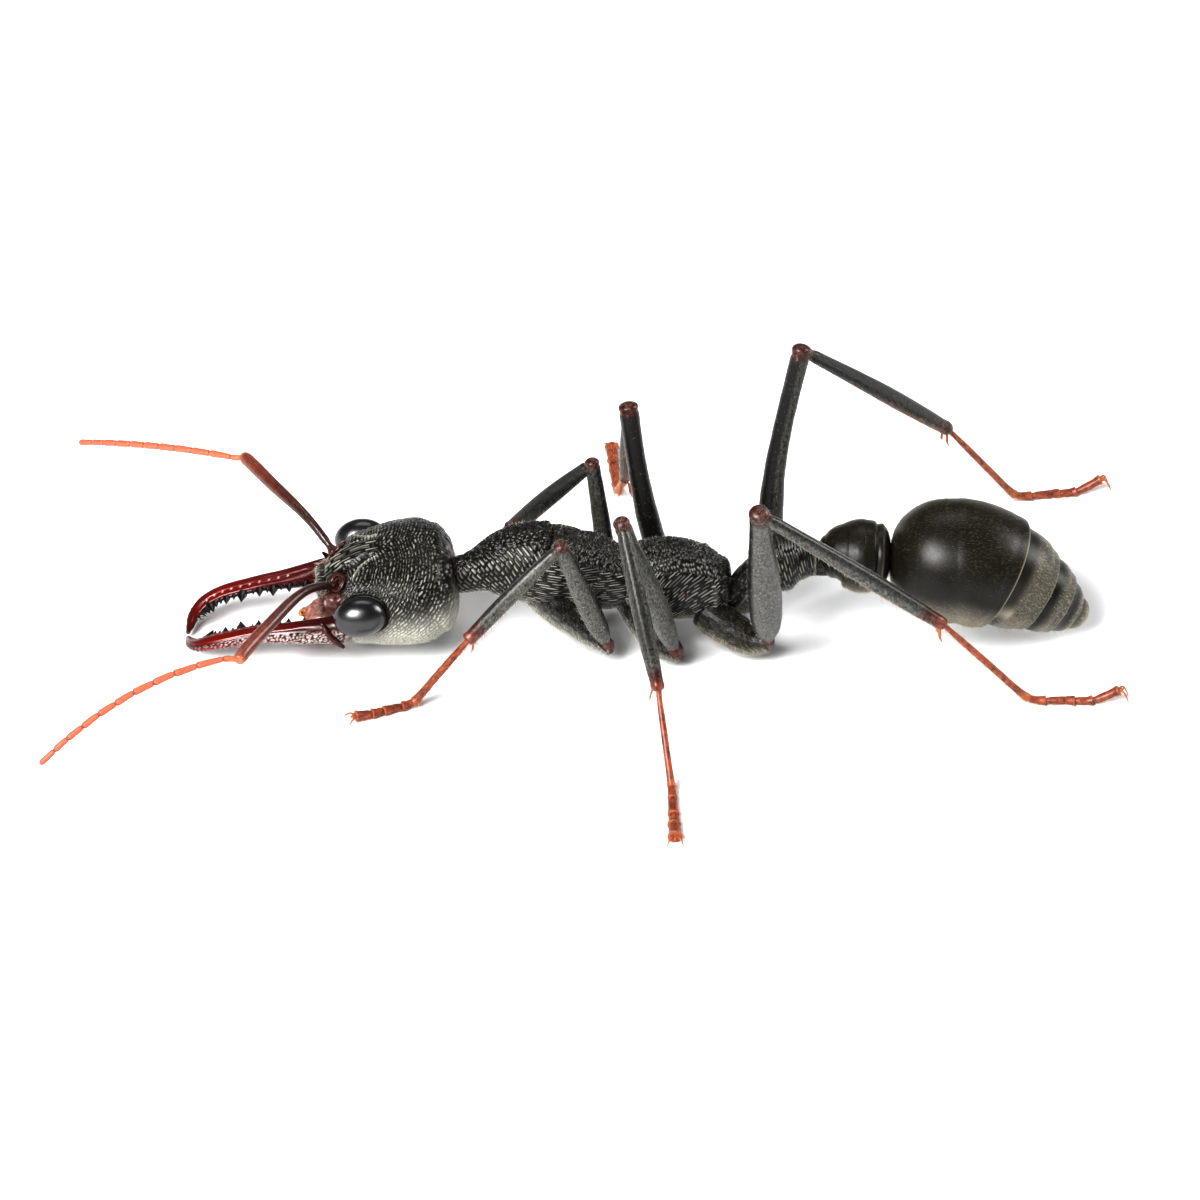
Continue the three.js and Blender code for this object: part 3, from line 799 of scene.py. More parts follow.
def ring_shell(centre, facing, radius, thick):
    """A rolled rim: a tube whose spine goes round until its two ends meet."""
    facing = unit(facing)
    first = unit(np.cross(facing, UP))
    second = np.cross(facing, first)
    turn = np.linspace(0, 2 * pi, 25)[:, None]
    spine = centre + radius * (first * np.cos(turn) + second * np.sin(turn))
    return Shell(spine, [thick] * 3, [thick] * 3, (0.01, 0.01), 72, 16, 4, 2.0, facing)


# ---------------------------------------------------------------- jaws and mouth
# A jaw's middle line from its hinge to its tip, in the head's frame, for the right side.
JAW_LINE = [(-0.62, 1.42, -0.58), (-1.84, 1.24, -0.57), (-2.9, 1.13, -0.53), (-4.0, 1.05, -0.65),
            (-4.6, 0.75, -0.86), (-4.86, 0.12, -1.08)]
# The lumpy joint outside its root.
HINGE_LINE = [(-1.06, 1.6, -0.16), (-0.9, 1.74, -0.5), (-0.62, 1.76, -0.9)]
JAW_WIDE = [0.3, 0.29, 0.27, 0.26, 0.25, 0.22, 0.15, 0.06]
JAW_TALL = [0.4, 0.33, 0.23, 0.18, 0.16, 0.14, 0.1, 0.05]
JAW_STEPS = 100   # how finely its middle line is divided
TOOTH_PLACES = [0.17, 0.205, 0.24, 0.28, 0.315, 0.35, 0.39, 0.425, 0.47, 0.51, 0.545, 0.59, 0.63, 0.675,
                0.71, 0.745, 0.785, 0.82, 0.86]
TOOTH_SIZES = [0.34, 0.2, 0.34, 0.22, 0.42, 0.24, 0.34, 0.2, 0.42, 0.22, 0.32, 0.22, 0.26, 0.36, 0.2,
               0.28, 0.2, 0.24, 0.18]


def jaw_line(side):
    return from_head(np.array(JAW_LINE) * [1, side, 1])


def jaw_frame(side, share):
    """A place on a jaw's middle line, its directions ahead and inward, and its half width."""
    line = resample(jaw_line(side), JAW_STEPS + 1)
    i = int(round(JAW_STEPS * share))
    ahead = unit(np.gradient(line, axis=0))[i]
    half = resample(JAW_WIDE, JAW_STEPS + 1)[int(JAW_STEPS * share)]
    return line[i], ahead, unit(np.cross(ahead, HEAD_AXES[2]) * -side), half


def make_jaw(side, label, paints):
    shell = Shell(jaw_line(side), JAW_WIDE, JAW_TALL, (0.3, 0.05), 220, 72, 8, 2.2, HEAD_AXES[2])
    inner = -np.cos(shell.angle) * side    # 1 on the inner edge, -1 on the outer
    top = shell.rise
    body = smoothstep(0.16, 0.26, shell.along) * smoothstep(0.97, 0.9, shell.along)
    groove = -0.03 * bell(inner - 0.5, 0.2) * (top > 0) * body
    ledge = 0.02 * bell(inner - 0.95, 0.1) * body
    side_cut = -0.02 * bell(inner + 0.8, 0.12) * (top > 0) * body
    heavy = 0.03 * smoothstep(0.1, 0.8, -inner) * smoothstep(0.3, -0.5, top) * body
    pits = np.zeros(shell.grid.shape[:2])
    for share in np.linspace(0.34, 0.78, 10):
        spot = ((shell.along - share) * 210) ** 2 + ((inner - 0.55) / 0.08) ** 2
        pits = np.maximum(pits, np.exp(-spot) * (top > 0))
    s, t = shell.unrolled()
    low = smoothstep(0.55, 0.2, top) * smoothstep(0.2, -0.3, inner)
    pores = grains(s, t, 12, 0.06, 0.09, 5)
    shell.sculpt(groove + ledge + side_cut + heavy - 0.015 * pits + 0.01 * low * pores
                 + ripple(shell.grid, 0.3) * 0.006)
    # Pale specks on the pores of the lower outer face: painted glints, with pale hairs.
    pore_glints_and_hairs = tops_highlight(pores, -0.9) * low * smoothstep(0.95, 0.5, shell.along) * 0.85
    pore_glints_and_hairs = pore_glints_and_hairs * (0.55 + 0.45 * smoothstep(0.6, 0.1, shell.along))
    shell.marks["mark"] = np.clip(pits * 0.7 + pore_glints_and_hairs * (0.85 + 0.4 * ripple(shell.grid, 0.2, 41)), 0, 1)
    shell.marks["dark"] = bell(inner + 0.96, 0.06) * (top > 0.1) * body
    add_shells(f"jaw_{label}", [shell], paints["jaw"], [f"mandible_{label}"])
    add_shells(f"jaw_teeth_{label}", jaw_teeth(side), paints["tooth"])
    add_shells(f"jaw_hinge_{label}", [hinge_shell(side)], paints["mouth"])
    return shell


def hinge_shell(side):
    """The lumpy joint outside the jaw's root."""
    size = [0.04, 0.075, 0.09, 0.05]
    shell = Shell(from_head(np.array(HINGE_LINE) * [1, side, 1]), size, size, (0.03, 0.05), 50, 18, 5)
    shell.sculpt(ripple(shell.grid, 0.12) * 0.01)
    return shell


def jaw_teeth(side):
    """Flattened black teeth along the inner edge, and a thin dark edge that joins them."""
    teeth, edge = [], []
    for share, reach in zip(TOOTH_PLACES, TOOTH_SIZES):
        place, ahead, inward, half = jaw_frame(side, share)
        foot = place + inward * half * 0.7
        tip = place + inward * (half + reach) + ahead * reach * 0.12
        wide = np.array([0.38, 0.32, 0.17, 0.02]) * reach
        line = [foot, foot * 0.6 + tip * 0.4, foot * 0.3 + tip * 0.7, tip]
        teeth.append(Shell(line, wide, wide * 0.6, (0.02, 0.012), 10, 16, 4, 1.8, HEAD_AXES[2]))
    for share in np.linspace(0.1, 0.96, 26):
        place, _, inward, half = jaw_frame(side, share)
        edge.append(place + inward * half * 0.98)
    sizes = [0.03, 0.04, 0.04, 0.02]
    teeth.append(Shell(edge, sizes, sizes, (0.05, 0.05), 90, 12, 4))
    return teeth


def lip_shell(back, middle, front, level):
    """The notched upper lip."""
    line = [[back, 0, level + 0.16], [middle, 0, level + 0.18], [front + 0.1, 0, level + 0.06]]
    wide, tall = [0.46, 0.46, 0.34], [0.09, 0.1, 0.06]
    lip = Shell(from_head(line), wide, tall, (0.08, 0.08), 32, 44, 6, 2.6, HEAD_AXES[2])
    notch = bell(in_head(lip.grid)[..., 1], 0.09) * smoothstep(0.7, 1.0, lip.along)
    lip.sculpt(-0.06 * notch + 0.012 * ripple(lip.grid, 0.12))
    lip.marks["mark"] = 0.3 + 0.4 * lip.along
    return lip


def lobe_shell(side, back, middle, front, level):
    """A folded inner jaw."""
    line = [[back, side * 0.3, level - 0.06], [middle, side * 0.36, level - 0.08],
            [front, side * 0.3, level - 0.08], [front - 0.1, side * 0.2, level - 0.04]]
    lobe = Shell(from_head(line), [0.16, 0.2, 0.16, 0.07], [0.15, 0.19, 0.14, 0.05], (0.05, 0.06), 50, 36, 6)
    folds = ripple(lobe.grid, 0.14)
    lobe.sculpt(0.05 * folds - 0.03 * bell(lobe.along - 0.62, 0.04))
    lobe.marks["mark"] = np.clip(0.75 + 0.35 * folds, 0.2, 1)
    return lobe


def root_plate_shell(side):
    """The plate that carries a jaw's root."""
    line = from_head([[-0.5, side * 0.8, -0.1], [-0.8, side * 0.8, -0.12], [-1.0, side * 0.78, -0.16]])
    plate = Shell(line, [0.3, 0.32, 0.24], [0.32, 0.32, 0.24], (0.1, 0.16), 44, 48, 6, 2.2, HEAD_AXES[2])
    folds = ripple(plate.grid, 0.16)
    plate.sculpt(0.04 * folds - 0.04 * bell(plate.along - 0.6, 0.05))
    plate.marks["mark"] = np.clip(0.36 + 0.22 * folds, 0, 0.55)
    return plate


def palp_shell(root, reach, outward, drop):
    """A thin ringed mouth feeler that curves down and out."""
    steps = np.linspace(0, 1, 5)[:, None]
    line = root + steps * [-reach, outward, 0] + steps**1.6 * [0.12, 0, -drop]
    palp = Shell(from_head(line), [0.045] * 3, [0.045] * 3, (0.03, 0.04), 40, 12, 4)
    palp.sculpt(-0.014 * np.cos(palp.along * 2 * pi * 4) ** 8)
    palp.tint(0.95)
    return palp


def make_mouth(paints):
    """The upper lip, the folded inner jaws, four thin mouth feelers and the jaws' root plates."""
    box = in_head(cad("mouthparts")[0])
    low, high = box.min(axis=0), box.max(axis=0)
    back, front, level = high[0], low[0], (low[2] + high[2]) / 2
    middle = (back + front) / 2
    shells = [lip_shell(back, middle, front, level)]
    for side in (-1, 1):
        shells.append(lobe_shell(side, back, middle, front, level))
        shells.append(root_plate_shell(side))
        root = np.array([middle - 0.1, side * 0.36, level - 0.02])
        shells.append(palp_shell(root, 0.42, side * 0.3, 0.2))
        shells.append(palp_shell(root, 0.3, side * 0.12, 0.3))
    add_shells("mouth", shells, paints["mouth"], ["mouthparts"])
    return shells


# ---------------------------------------------------------------- feelers
SCAPE_WIDE = [0.11, 0.115, 0.13, 0.15, 0.165, 0.175, 0.18, 0.17]
LASH_JOINTS = [0.075, 0.125, 0.105, 0.1, 0.095, 0.09, 0.085, 0.085, 0.08, 0.075, 0.085]    # its shares


def make_scape(side, label, paints):
    """The feeler's long first joint, and its elbow."""
    name = f"antenna_scape_{label}"
    first, second = ends(name)
    root, elbow = (first, second) if first[0] > second[0] else (second, first)
    heading = unit(elbow - root)
    steps = walk([name], root + heading * 0.3, heading, 0.25)
    line = np.array([from_head(SOCKET * [1, side, 1])] + [step[0] for step in steps[1:]])
    line = np.concatenate([line, [line[-1] + unit(line[-1] - line[-4]) * 0.2]])
    share = np.linspace(0, 1, len(line))
    line = line + HEAD_AXES[2] * 0.15 * np.sin(pi * np.minimum(share / 0.5, 1))[:, None]
    line = np.stack([np.polyval(np.polyfit(share, line[:, k], 4), share) for k in range(3)], -1)
    shell = Shell(line, SCAPE_WIDE, SCAPE_WIDE, (0.06, 0.05), 110, 28, 8, blunt=2.6)
    ball = bell(shell.along - 0.02, 0.03) * 0.06 - bell(shell.along - 0.075, 0.025) * 0.025
    lip = 0.01 * bell(shell.along - 0.955, 0.014) - 0.05 * smoothstep(0.975, 1.0, shell.along)
    shell.sculpt(ball + lip + ripple(shell.grid, 0.12) * 0.004)
    add_shells(f"scape_{label}", [shell], paints["scape"], [name])
    return shell, line[-1]


def make_lash(elbow, label, paints):
    """The feeler's thin jointed end."""
    name = f"antenna_flagellum_{label}"
    first, second = ends(name)
    tip = first if first[0] < second[0] else second
    heading = unit(tip - elbow)
    steps = walk([name], elbow + heading * 0.3, heading, 0.35, 0.8)
    line = np.array([elbow] + [step[0] for step in steps[:-1]])
    size = [0.07, 0.085, 0.088, 0.085, 0.082, 0.074]
    shell = Shell(line, size, size, (0.04, 0.12), 380, 18, 8)
    joint = np.zeros(shell.grid.shape[:2])
    swell = np.zeros(shell.grid.shape[:2])
    starts = np.concatenate([[0], np.cumsum(LASH_JOINTS)])
    for a, b in zip(starts[:-1], starts[1:]):
        inside = (shell.along >= a) & (shell.along < b)
        swell = np.where(inside, ((shell.along - a) / (b - a)) ** 1.5, swell)
        if a > 0:
            joint = np.maximum(joint, bell(shell.along - a, 0.006))
    shell.sculpt(0.014 * swell - 0.03 * joint + ripple(shell.grid, 0.08) * 0.003)
    shell.marks["mark"] = joint * 0.7
    add_shells(f"lash_{label}", [shell], paints["lash"], [name])
    return shell


def make_socket(side, label, paints):
    """Two rolled rims round the feeler's root."""
    place = from_head(SOCKET_RING * [1, side, 1])
    outward = np.array([-0.55, 0.35 * side, 0.75]) @ HEAD_AXES
    rims = [ring_shell(place, outward, 0.23, 0.045), ring_shell(place - outward * 0.03, outward, 0.14, 0.04)]
    add_shells(f"socket_{label}", rims, paints["mouth"])


def make_feeler(side, label, paints):
    scape, elbow = make_scape(side, label, paints)
    lash = make_lash(elbow, label, paints)
    make_socket(side, label, paints)
    return scape, lash


# ---------------------------------------------------------------- trunk, waist and gaster
TRUNK_NODES = ["pronotum", "mesothorax", "propodeum"]


def trunk_sections(first, last, count, leans):
    """Sections of the whole trunk on planes that lean back by some degrees."""
    corners, _ = cad("propodeum")
    middle = (corners.min(axis=0) + corners.max(axis=0)) / 2
    steps = []
    for x, lean in zip(np.linspace(first, last, count), resample(leans, count)):
        level = outline(TRUNK_NODES, np.array([x, middle[1], middle[2]]), AHEAD)[0]
        heading = np.array([cos(radians(lean)), 0, -sin(radians(lean))])
        spine, wide, tall = outline(TRUNK_NODES, level, heading, 2.4)
        steps.append((spine, heading, wide, tall))
    return [np.array(column) for column in zip(*steps)]


NECK_STEPS = np.array([[-1.1, 0, -0.26], [-0.7, 0, -0.28], [-0.34, 0, -0.18]])
NECK_SIZES = np.array([[0.43, 0.44], [0.46, 0.48], [0.5, 0.56]])
PRONOTUM_END = 1.95    # how far back its leaning edge starts


def pronotum_shell():
    """From a narrow neck in the head's back to the leaning edge over the next segment."""
    begin = cad("pronotum")[0][:, 0].min()
    spine, facing, wide, tall = trunk_sections(begin + 0.68, begin + PRONOTUM_END, 9, [0, 4, 16, 27])
    spine = np.concatenate([spine[0] + NECK_STEPS, spine])
    facing = np.concatenate([[AHEAD] * 3, facing])
    wide = np.concatenate([NECK_SIZES[:, 0], wide])
    tall = np.concatenate([NECK_SIZES[:, 1], tall])
    return Shell(spine, wide, tall, (0.05, 0.1), 230, 370, 5, 2.1, facing=facing)


def mesothorax_shell():
    """Its front tucks under the pronotum's leaning edge."""
    begin = cad("pronotum")[0][:, 0].min() + PRONOTUM_END - 0.17
    end = cad("propodeum")[0][:, 0].min() - 0.06
    spine, facing, wide, tall = trunk_sections(begin, end, 12, [27, 24, 14, 6])
    tuck = 0.9 + 0.085 * smoothstep(0, 0.3, np.linspace(0, 1, 12))
    return Shell(spine, wide * tuck, tall * tuck, (0.2, 0.2), 140, 430, 8, 2.1, facing=facing)


def propodeum_shell():
    """The trunk's last segment, with a steep back."""
    reach = cad("propodeum")[0][:, 0]
    spine, facing, wide, tall = trunk_sections(reach.min() + 0.08, reach.max() - 0.28, 13, [0, 0, 0])
    return Shell(spine, wide, tall, (0.2, 0.26), 190, 340, 12, 2.2, facing=facing, blunt=2.4)


def postpetiole_shell():
    """The waist's second segment, a bell that opens towards the gaster."""
    reach = cad("postpetiole")[0][:, 0]
    steps = upright(["postpetiole"], np.linspace(reach.min() + 0.25, reach.max() - 0.25, 7))
    return Shell(*steps, (0.3, 0.25), 90, 120, 14)


def sculpt_pronotum(shell):
    """Ridges that slope down and back on the sides, grains on top and a smooth neck."""
    p, rise, back = shell.grid, shell.rise, shell.behind
    s, t = shell.unrolled()
    side = smoothstep(0.93, 0.75, rise)
    stripes = lines(s, t, 58, 0.085, 0.3, 3, ripple(p, 0.5, 3) * 0.3)
    relief = stripes * side + grains(s, t, 20, 0.08, 0.12, 6) * (1 - side)
    neck = smoothstep(0.5, 1.0, s)
    back_rim = -0.03 * bell(back - 0.26, 0.03) + 0.015 * bell(back - 0.16, 0.03)
    shell.sculpt(relief * 0.015 * (0.3 + 0.7 * neck) + back_rim + ripple(p, 0.8, 5) * 0.015)
    # Painted highlights, with pale down, on the tops of the stripes and grains, far stronger on the sides
    # than on top.
    pale = tops_highlight(relief) * (0.03 + 0.66 * side) * (0.85 + 0.2 * ripple(p, 0.3, 31))
    pale = pale * (0.1 + 0.9 * neck) * smoothstep(0.1, 0.22, back)
    shell.marks["mark"] = np.clip(pale + 0.4 * smoothstep(-0.5, -0.9, rise), 0, 1)
    shell.marks["dark"] = 0.5 * smoothstep(0.12, 0.03, back) + 0.25 * (1 - neck)


def sculpt_mesothorax(shell):
    """A grainy dome above, parted by a seam from finely lined side plates."""
    p, rise, ahead = shell.grid, shell.rise, shell.ahead
    s, t = shell.unrolled()
    side = smoothstep(0.3, 0.7, np.abs(np.cos(shell.angle)))
    low_plate = smoothstep(0.62, 0.52, rise)
    stripes = lines(s, t + 0.16 * (s - 1.2) ** 2, 4, 0.073, 0.5, 8, ripple(p, 0.5, 8) * 0.3)
    dome = grains(s, t, 70, 0.08, 0.13, 10)
    seam = -0.05 * bell(rise - 0.57, 0.04) * side
    lean = p[..., 0] - 0.5 * (p[..., 2] - 2.0)
    seam_back = -0.05 * bell(lean - (lean.min() + np.ptp(lean) * 0.62), 0.05) * side
    front = -0.05 * bell(ahead - 0.42, 0.04) * (rise > 0.3)
    relief = stripes * low_plate + dome * (1 - low_plate)
    shell.sculpt(relief * (0.009 + 0.004 * (1 - low_plate)) + seam + seam_back + front)
    # Painted highlights, with pale down, on the grain and stripe tops, mostly on the lined side plates.
    pale = tops_highlight(relief) * (0.85 + 0.15 * ripple(p, 0.3, 32))
    pale = pale * (0.1 + 0.15 * smoothstep(0.95, 0.7, rise) + 0.85 * low_plate)
    shell.marks["mark"] = np.clip(pale + 0.6 * smoothstep(-0.5, -0.9, rise), 0, 1)
    shell.marks["dark"] = smoothstep(0.42, 0.3, ahead)


def sculpt_propodeum(shell):
    """Slanting lines on the sides, a rough top, and a raised rim round the steep back."""
    p, rise, back = shell.grid, shell.rise, shell.behind
    s, t = shell.unrolled()
    side = smoothstep(0.3, 0.7, np.abs(np.cos(shell.angle)))
    low = smoothstep(0.66, 0.52, rise)
    stripes = lines(s, t, -48, 0.073, 0.5, 12, ripple(p, 0.5, 12) * 0.3)
    relief = stripes * low + grains(s, t, 70, 0.08, 0.13, 15) * (1 - low)
    ledge = -0.03 * bell(rise - 0.58, 0.04) * side * smoothstep(0.15, 0.4, shell.along)
    rim = bell(back - 0.42 - 0.3 * smoothstep(0.2, 1, rise), 0.05) * smoothstep(-0.9, -0.5, rise)
    shell.sculpt(relief * (0.009 + 0.005 * (1 - low)) + ledge + 0.05 * rim)
    # Painted highlights, with pale down, on the tops of the lines and grains, mostly low on the sides.
    pale = tops_highlight(relief) * (0.14 + 0.86 * low + 0.5 * bell(rise - 0.7, 0.1))
    pale = pale * (0.85 + 0.15 * ripple(p, 0.3, 33)) * smoothstep(0.1, 0.35, back)
    under = smoothstep(-0.5, -0.9, rise)
    shell.marks["mark"] = np.clip(pale + 0.6 * under + 0.12 * rim * (rise < 0.4), 0, 1)


def sculpt_petiole(shell):
    """A rounded node whose fine lines fan out."""
    p = shell.grid
    s, t = shell.unrolled()
    stripes = lines(s, t + 0.35 * s, 75, 0.08, 0.4, 18, ripple(p, 0.5, 18) * 0.3)
    lip = bell(shell.behind - 0.16, 0.03)
    shell.sculpt(stripes * 0.012 + 0.03 * lip + ripple(p, 0.5, 22) * 0.02)
    # Painted highlights, with pale hairs, on the tops of the fanned lines, stronger lower down.
    pale = tops_highlight(stripes) * (0.2 + 0.45 * smoothstep(0.8, 0.2, shell.rise)) * (1 + 0.4 * ripple(p, 0.3, 34))
    low = smoothstep(-0.4, -0.9, shell.rise)
    shell.marks["mark"] = np.clip(pale + 0.3 * lip + 0.3 * low, 0, 1)


def sculpt_postpetiole(shell):
    """A ribbed rim near its back and a pale bloom below."""
    along = shell.along
    rim = 0.03 * bell(along - 0.86, 0.025) - 0.05 * bell(along - 0.8, 0.02)
    ribs = 0.006 * np.cos(shell.angle * 60) * bell(along - 0.86, 0.03)
    shell.sculpt(rim + ribs + ripple(shell.grid, 0.2) * 0.006)
    fuzz = smoothstep(-0.1, -0.7, shell.rise) * (0.7 + 0.3 * ripple(shell.grid, 0.06, 24))
    shell.marks["mark"] = np.clip(0.45 * bell(along - 0.87, 0.012) + 0.3 * fuzz, 0, 1)


def petiole_shells():
    """The waist's first segment: a node, and the low stalk that carries it."""
    reach = cad("petiole")[0][:, 0]
    spine, wide, tall = upright(["petiole"], np.linspace(reach.min() + 0.98, reach.max() - 0.2, 8))
    node = Shell(spine, wide, tall, (0.26, 0.24), 130, 180, 14, 2.1, facing=[AHEAD] * 8, blunt=2.3)
    front = upright(["petiole"], np.linspace(reach.min() + 0.15, reach.min() + 0.6, 3))[0]
    line = [front[0] - AHEAD * 0.3, *front, front[-1] + [0.35, 0, 0.25], front[-1] + [0.9, 0, 0.4],
            spine[-1] - UP * 0.1, spine[-1] + [0.6, 0, -0.1]]
    size = [0.4, 0.36, 0.34, 0.36, 0.42, 0.42, 0.4, 0.4]
    stalk = Shell(line, size, size, (0.1, 0.1), 90, 70, 6)
    stalk.sculpt(0.04 * bell(stalk.rise - 0.2, 0.12) - 0.03 * bell(stalk.rise + 0.25, 0.15)
                 + ripple(stalk.grid, 0.2, 21) * 0.012)
    stalk.marks["mark"] = 0.3 * smoothstep(0.2, 0.7, ripple(stalk.grid, 0.06, 35))
    return node, stalk


def is_under(skin):
    return smoothstep(-0.3, -0.8, skin.rise)


def is_above(skin):
    return smoothstep(0.2, 0.7, skin.rise)


def make_trunk(paints, coats):
    node, stalk = petiole_shells()
    waist = postpetiole_shell()
    trunk = {"pronotum": pronotum_shell(), "mesothorax": mesothorax_shell(), "propodeum": propodeum_shell()}
    sculpt_pronotum(trunk["pronotum"])
    sculpt_mesothorax(trunk["mesothorax"])
    sculpt_propodeum(trunk["propodeum"])
    sculpt_petiole(node)
    sculpt_postpetiole(waist)
    for name, shell in trunk.items():
        add_shells(f"shell_{name}", [shell], paints["cuticle"], [name])
    add_shells("shell_petiole", [node, stalk], paints["cuticle"], ["petiole"])
    add_shells("shell_postpetiole", [waist], paints["gaster"], ["postpetiole"])
    make_spiracles(trunk["propodeum"], paints)
    for shell in trunk.values():
        coats["down"].comb(shell, 170, 0.055, 68, 25, 0.0055)
        coats["trunk"].comb(shell, 30, 0.13, 30, 30, 0.0075, is_above)
        coats["trunk"].comb(shell, 170, 0.1, 42, 25, 0.0065, is_under)
    coats["down"].comb(node, 130, 0.1, 60, 20, 0.006)
    coats["trunk"].comb(node, 80, 0.12, 50, 20, 0.008, is_under)
    coats["gaster_front"].comb(waist, 260, 0.1, 80, 14, 0.005, is_above)
    coats["gaster"].comb(waist, 260, 0.12, 66, 20, 0.006, is_under)


def make_spiracles(propodeum, paints):
    """A small red slit on each side of the propodeum."""
    slits = []
    for side in (-1, 1):
        near = np.abs(propodeum.along - 0.58) + np.abs(np.cos(propodeum.angle) + side * 0.999) * 2
        i, j = np.unravel_index(near.argmin(), near.shape)
        place, out = propodeum.grid[i, j], propodeum.normals()[i, j]
        line = [place - UP * 0.11 + out * 0.005, place + out * 0.02, place + UP * 0.11 + out * 0.005]
        slits.append(Shell(line, [0.02, 0.035, 0.02], [0.02, 0.03, 0.02], (0.02, 0.02), 24, 14, 5, 2.0, out))
        slits[-1].tint(0.25)
    add_shells("spiracles", slits, paints["mouth"])


GASTER_NODES = ["gaster_1", "gaster_2", "gaster_3", "gaster_4"]
GASTER_BEND = 31   # how far the gaster's plates lean back, in degrees
GASTER_FRONT = 1.7    # how far back its first section is cut; the rounded front covers the rest
PLATE_STEP = 0.055    # how far apart the sections are
PLATE_FRONT = 0.12    # how far a plate's front cap reaches
PLATE_TUCK = 4        # how many steps of a plate lie under the one before


def gaster_steps():
    """Planes across the gaster's bent middle line: where they are, how they face, how big the
    outline is there, and which plate each cuts."""
    corners = np.concatenate([cad(name)[0] for name in GASTER_NODES])
    low, high = corners.min(axis=0), corners.max(axis=0)
    level = upright(GASTER_NODES, np.linspace(low[0] + 0.3, high[0] - 0.3, 20))[0]
    bend = np.polyfit(level[:, 0], level[:, 2], 2)
    places, facing, sizes, owners = [], [], [], []
    for x in np.arange(low[0] + GASTER_FRONT, high[0] + 0.3, PLATE_STEP):
        lean = radians(GASTER_BEND) * smoothstep(low[0] + GASTER_FRONT, low[0] + 3.2, x)
        heading = np.array([cos(lean), 0, -sin(lean)])
        place = np.array([x, (low[1] + high[1]) / 2, np.polyval(bend, x)])
        whole = outline(GASTER_NODES, place, heading)
        if whole is None:
            continue
        parts = [outline([name], place, heading) for name in GASTER_NODES]
        places.append(whole[0])
        facing.append(heading)
        sizes.append(whole[1:])
        owners.append(int(np.argmax([0 if part is None else part[2] for part in parts])))
    places, sizes, owners = np.array(places), np.array(sizes), np.array(owners)
    places[:, 2] = np.polyval(np.polyfit(places[:, 0], places[:, 2], 3), places[:, 0])
    owners[np.flatnonzero(owners == 0)[-4:]] = 1
    return places, np.array(facing), sizes, owners


def plate_shell(index, steps):
    """A plate between the cuts that part it. Its front tucks into the plate before it."""
    places, facing, sizes, owners = steps
    mine = np.flatnonzero(owners == index)
    tuck = PLATE_TUCK if index else 0
    end = mine[-1] if index < 3 else mine[-1] - 6
    pick = np.arange(mine[0] - tuck, end + 1)
    count = np.arange(len(pick))
    scale = 1 + (0.012 * smoothstep(len(pick) - 5, len(pick) - 1, count) if index < 3 else 0)
    if index:
        scale = scale * (0.95 + 0.05 * smoothstep(tuck, tuck + 5, count))
    wide, tall = (sizes[pick, k] * scale for k in (0, 1))
    keep = np.linspace(0, len(pick) - 1, max(5, len(pick) // 4)).astype(int)
    caps = (PLATE_FRONT if index else GASTER_FRONT + 0.04, 0.03 if index < 3 else 0.36)
    return Shell(places[pick][keep], wide[keep], tall[keep], caps, 60 if index else 80, 150,
                 9 if index else 45, facing=facing[pick][keep], blunt=2.0 if index else 2.4)


def make_gaster(paints, coats):
    steps = gaster_steps()
    for index, name in enumerate(GASTER_NODES):
        shell = plate_shell(index, steps)
        back, rise = shell.behind, shell.rise
        bare = shell.ahead - (PLATE_FRONT + PLATE_STEP * PLATE_TUCK if index else -1)
        rim = bell(back - 0.03, 0.02) * (index < 3)
        dent = -0.012 * bell(back - 0.22, 0.08) * (index < 3)
        lumps = ripple(shell.grid, 0.9, 20) * 0.02 + ripple(shell.grid, 0.15, 21) * 0.002
        shell.sculpt(lumps + 0.008 * rim + dent)
        low = smoothstep(0.0, -0.6, rise)
        dusty = smoothstep(0.15, 0.4, bare) * smoothstep(0.02, 0.12, back)
        haze = (0.22 + 0.24 * low if index else 0.6 * low) * dusty
        haze = haze * (0.7 + 0.3 * ripple(shell.grid, 0.06, 23))
        tail = smoothstep(0.7, 1, shell.along) * 0.4 * (index == 3)
        # A painted reflection on the side of the second plate's bare glossy front band.
        patch = bell(rise + 0.2, 0.16) * smoothstep(0.45, 0.3, bare) * (index == 1)
        shell.marks["mark"] = np.clip(0.55 * rim + tail + 0.55 * patch + haze, 0, 1)
        add_shells(f"shell_{name}", [shell], paints["gaster"], [name])
        comb_gaster(shell, coats, index, dusty[:-1])


def comb_gaster(shell, coats, index, dusty):
    """Golden down that lies back, dim on the first plate's top and sides and paler elsewhere,
    with a bare band at each plate's front."""

    def anywhere(skin):
        return dusty

    def on_top(skin):
        return dusty * smoothstep(0.1, 0.8, skin.rise)

    def on_side(skin):
        return dusty * (np.abs(skin.rise) < 0.5)

    def below(skin):
        return dusty * smoothstep(-0.1, -0.6, skin.rise)

    if index:
        coats["gaster"].comb(shell, 460, 0.11, 80, 12, 0.006, anywhere)
        coats["gaster"].comb(shell, 30, 0.2, 45, 20, 0.008, is_under)
    else:
        coats["gaster_front"].comb(shell, 420, 0.1, 80, 14, 0.0065, on_top)
        coats["gaster_front"].comb(shell, 110, 0.09, 82, 14, 0.0055, on_side)
        coats["gaster"].comb(shell, 620, 0.11, 78, 14, 0.006, below)
        coats["gaster"].comb(shell, 20, 0.2, 40, 20, 0.008, is_under)


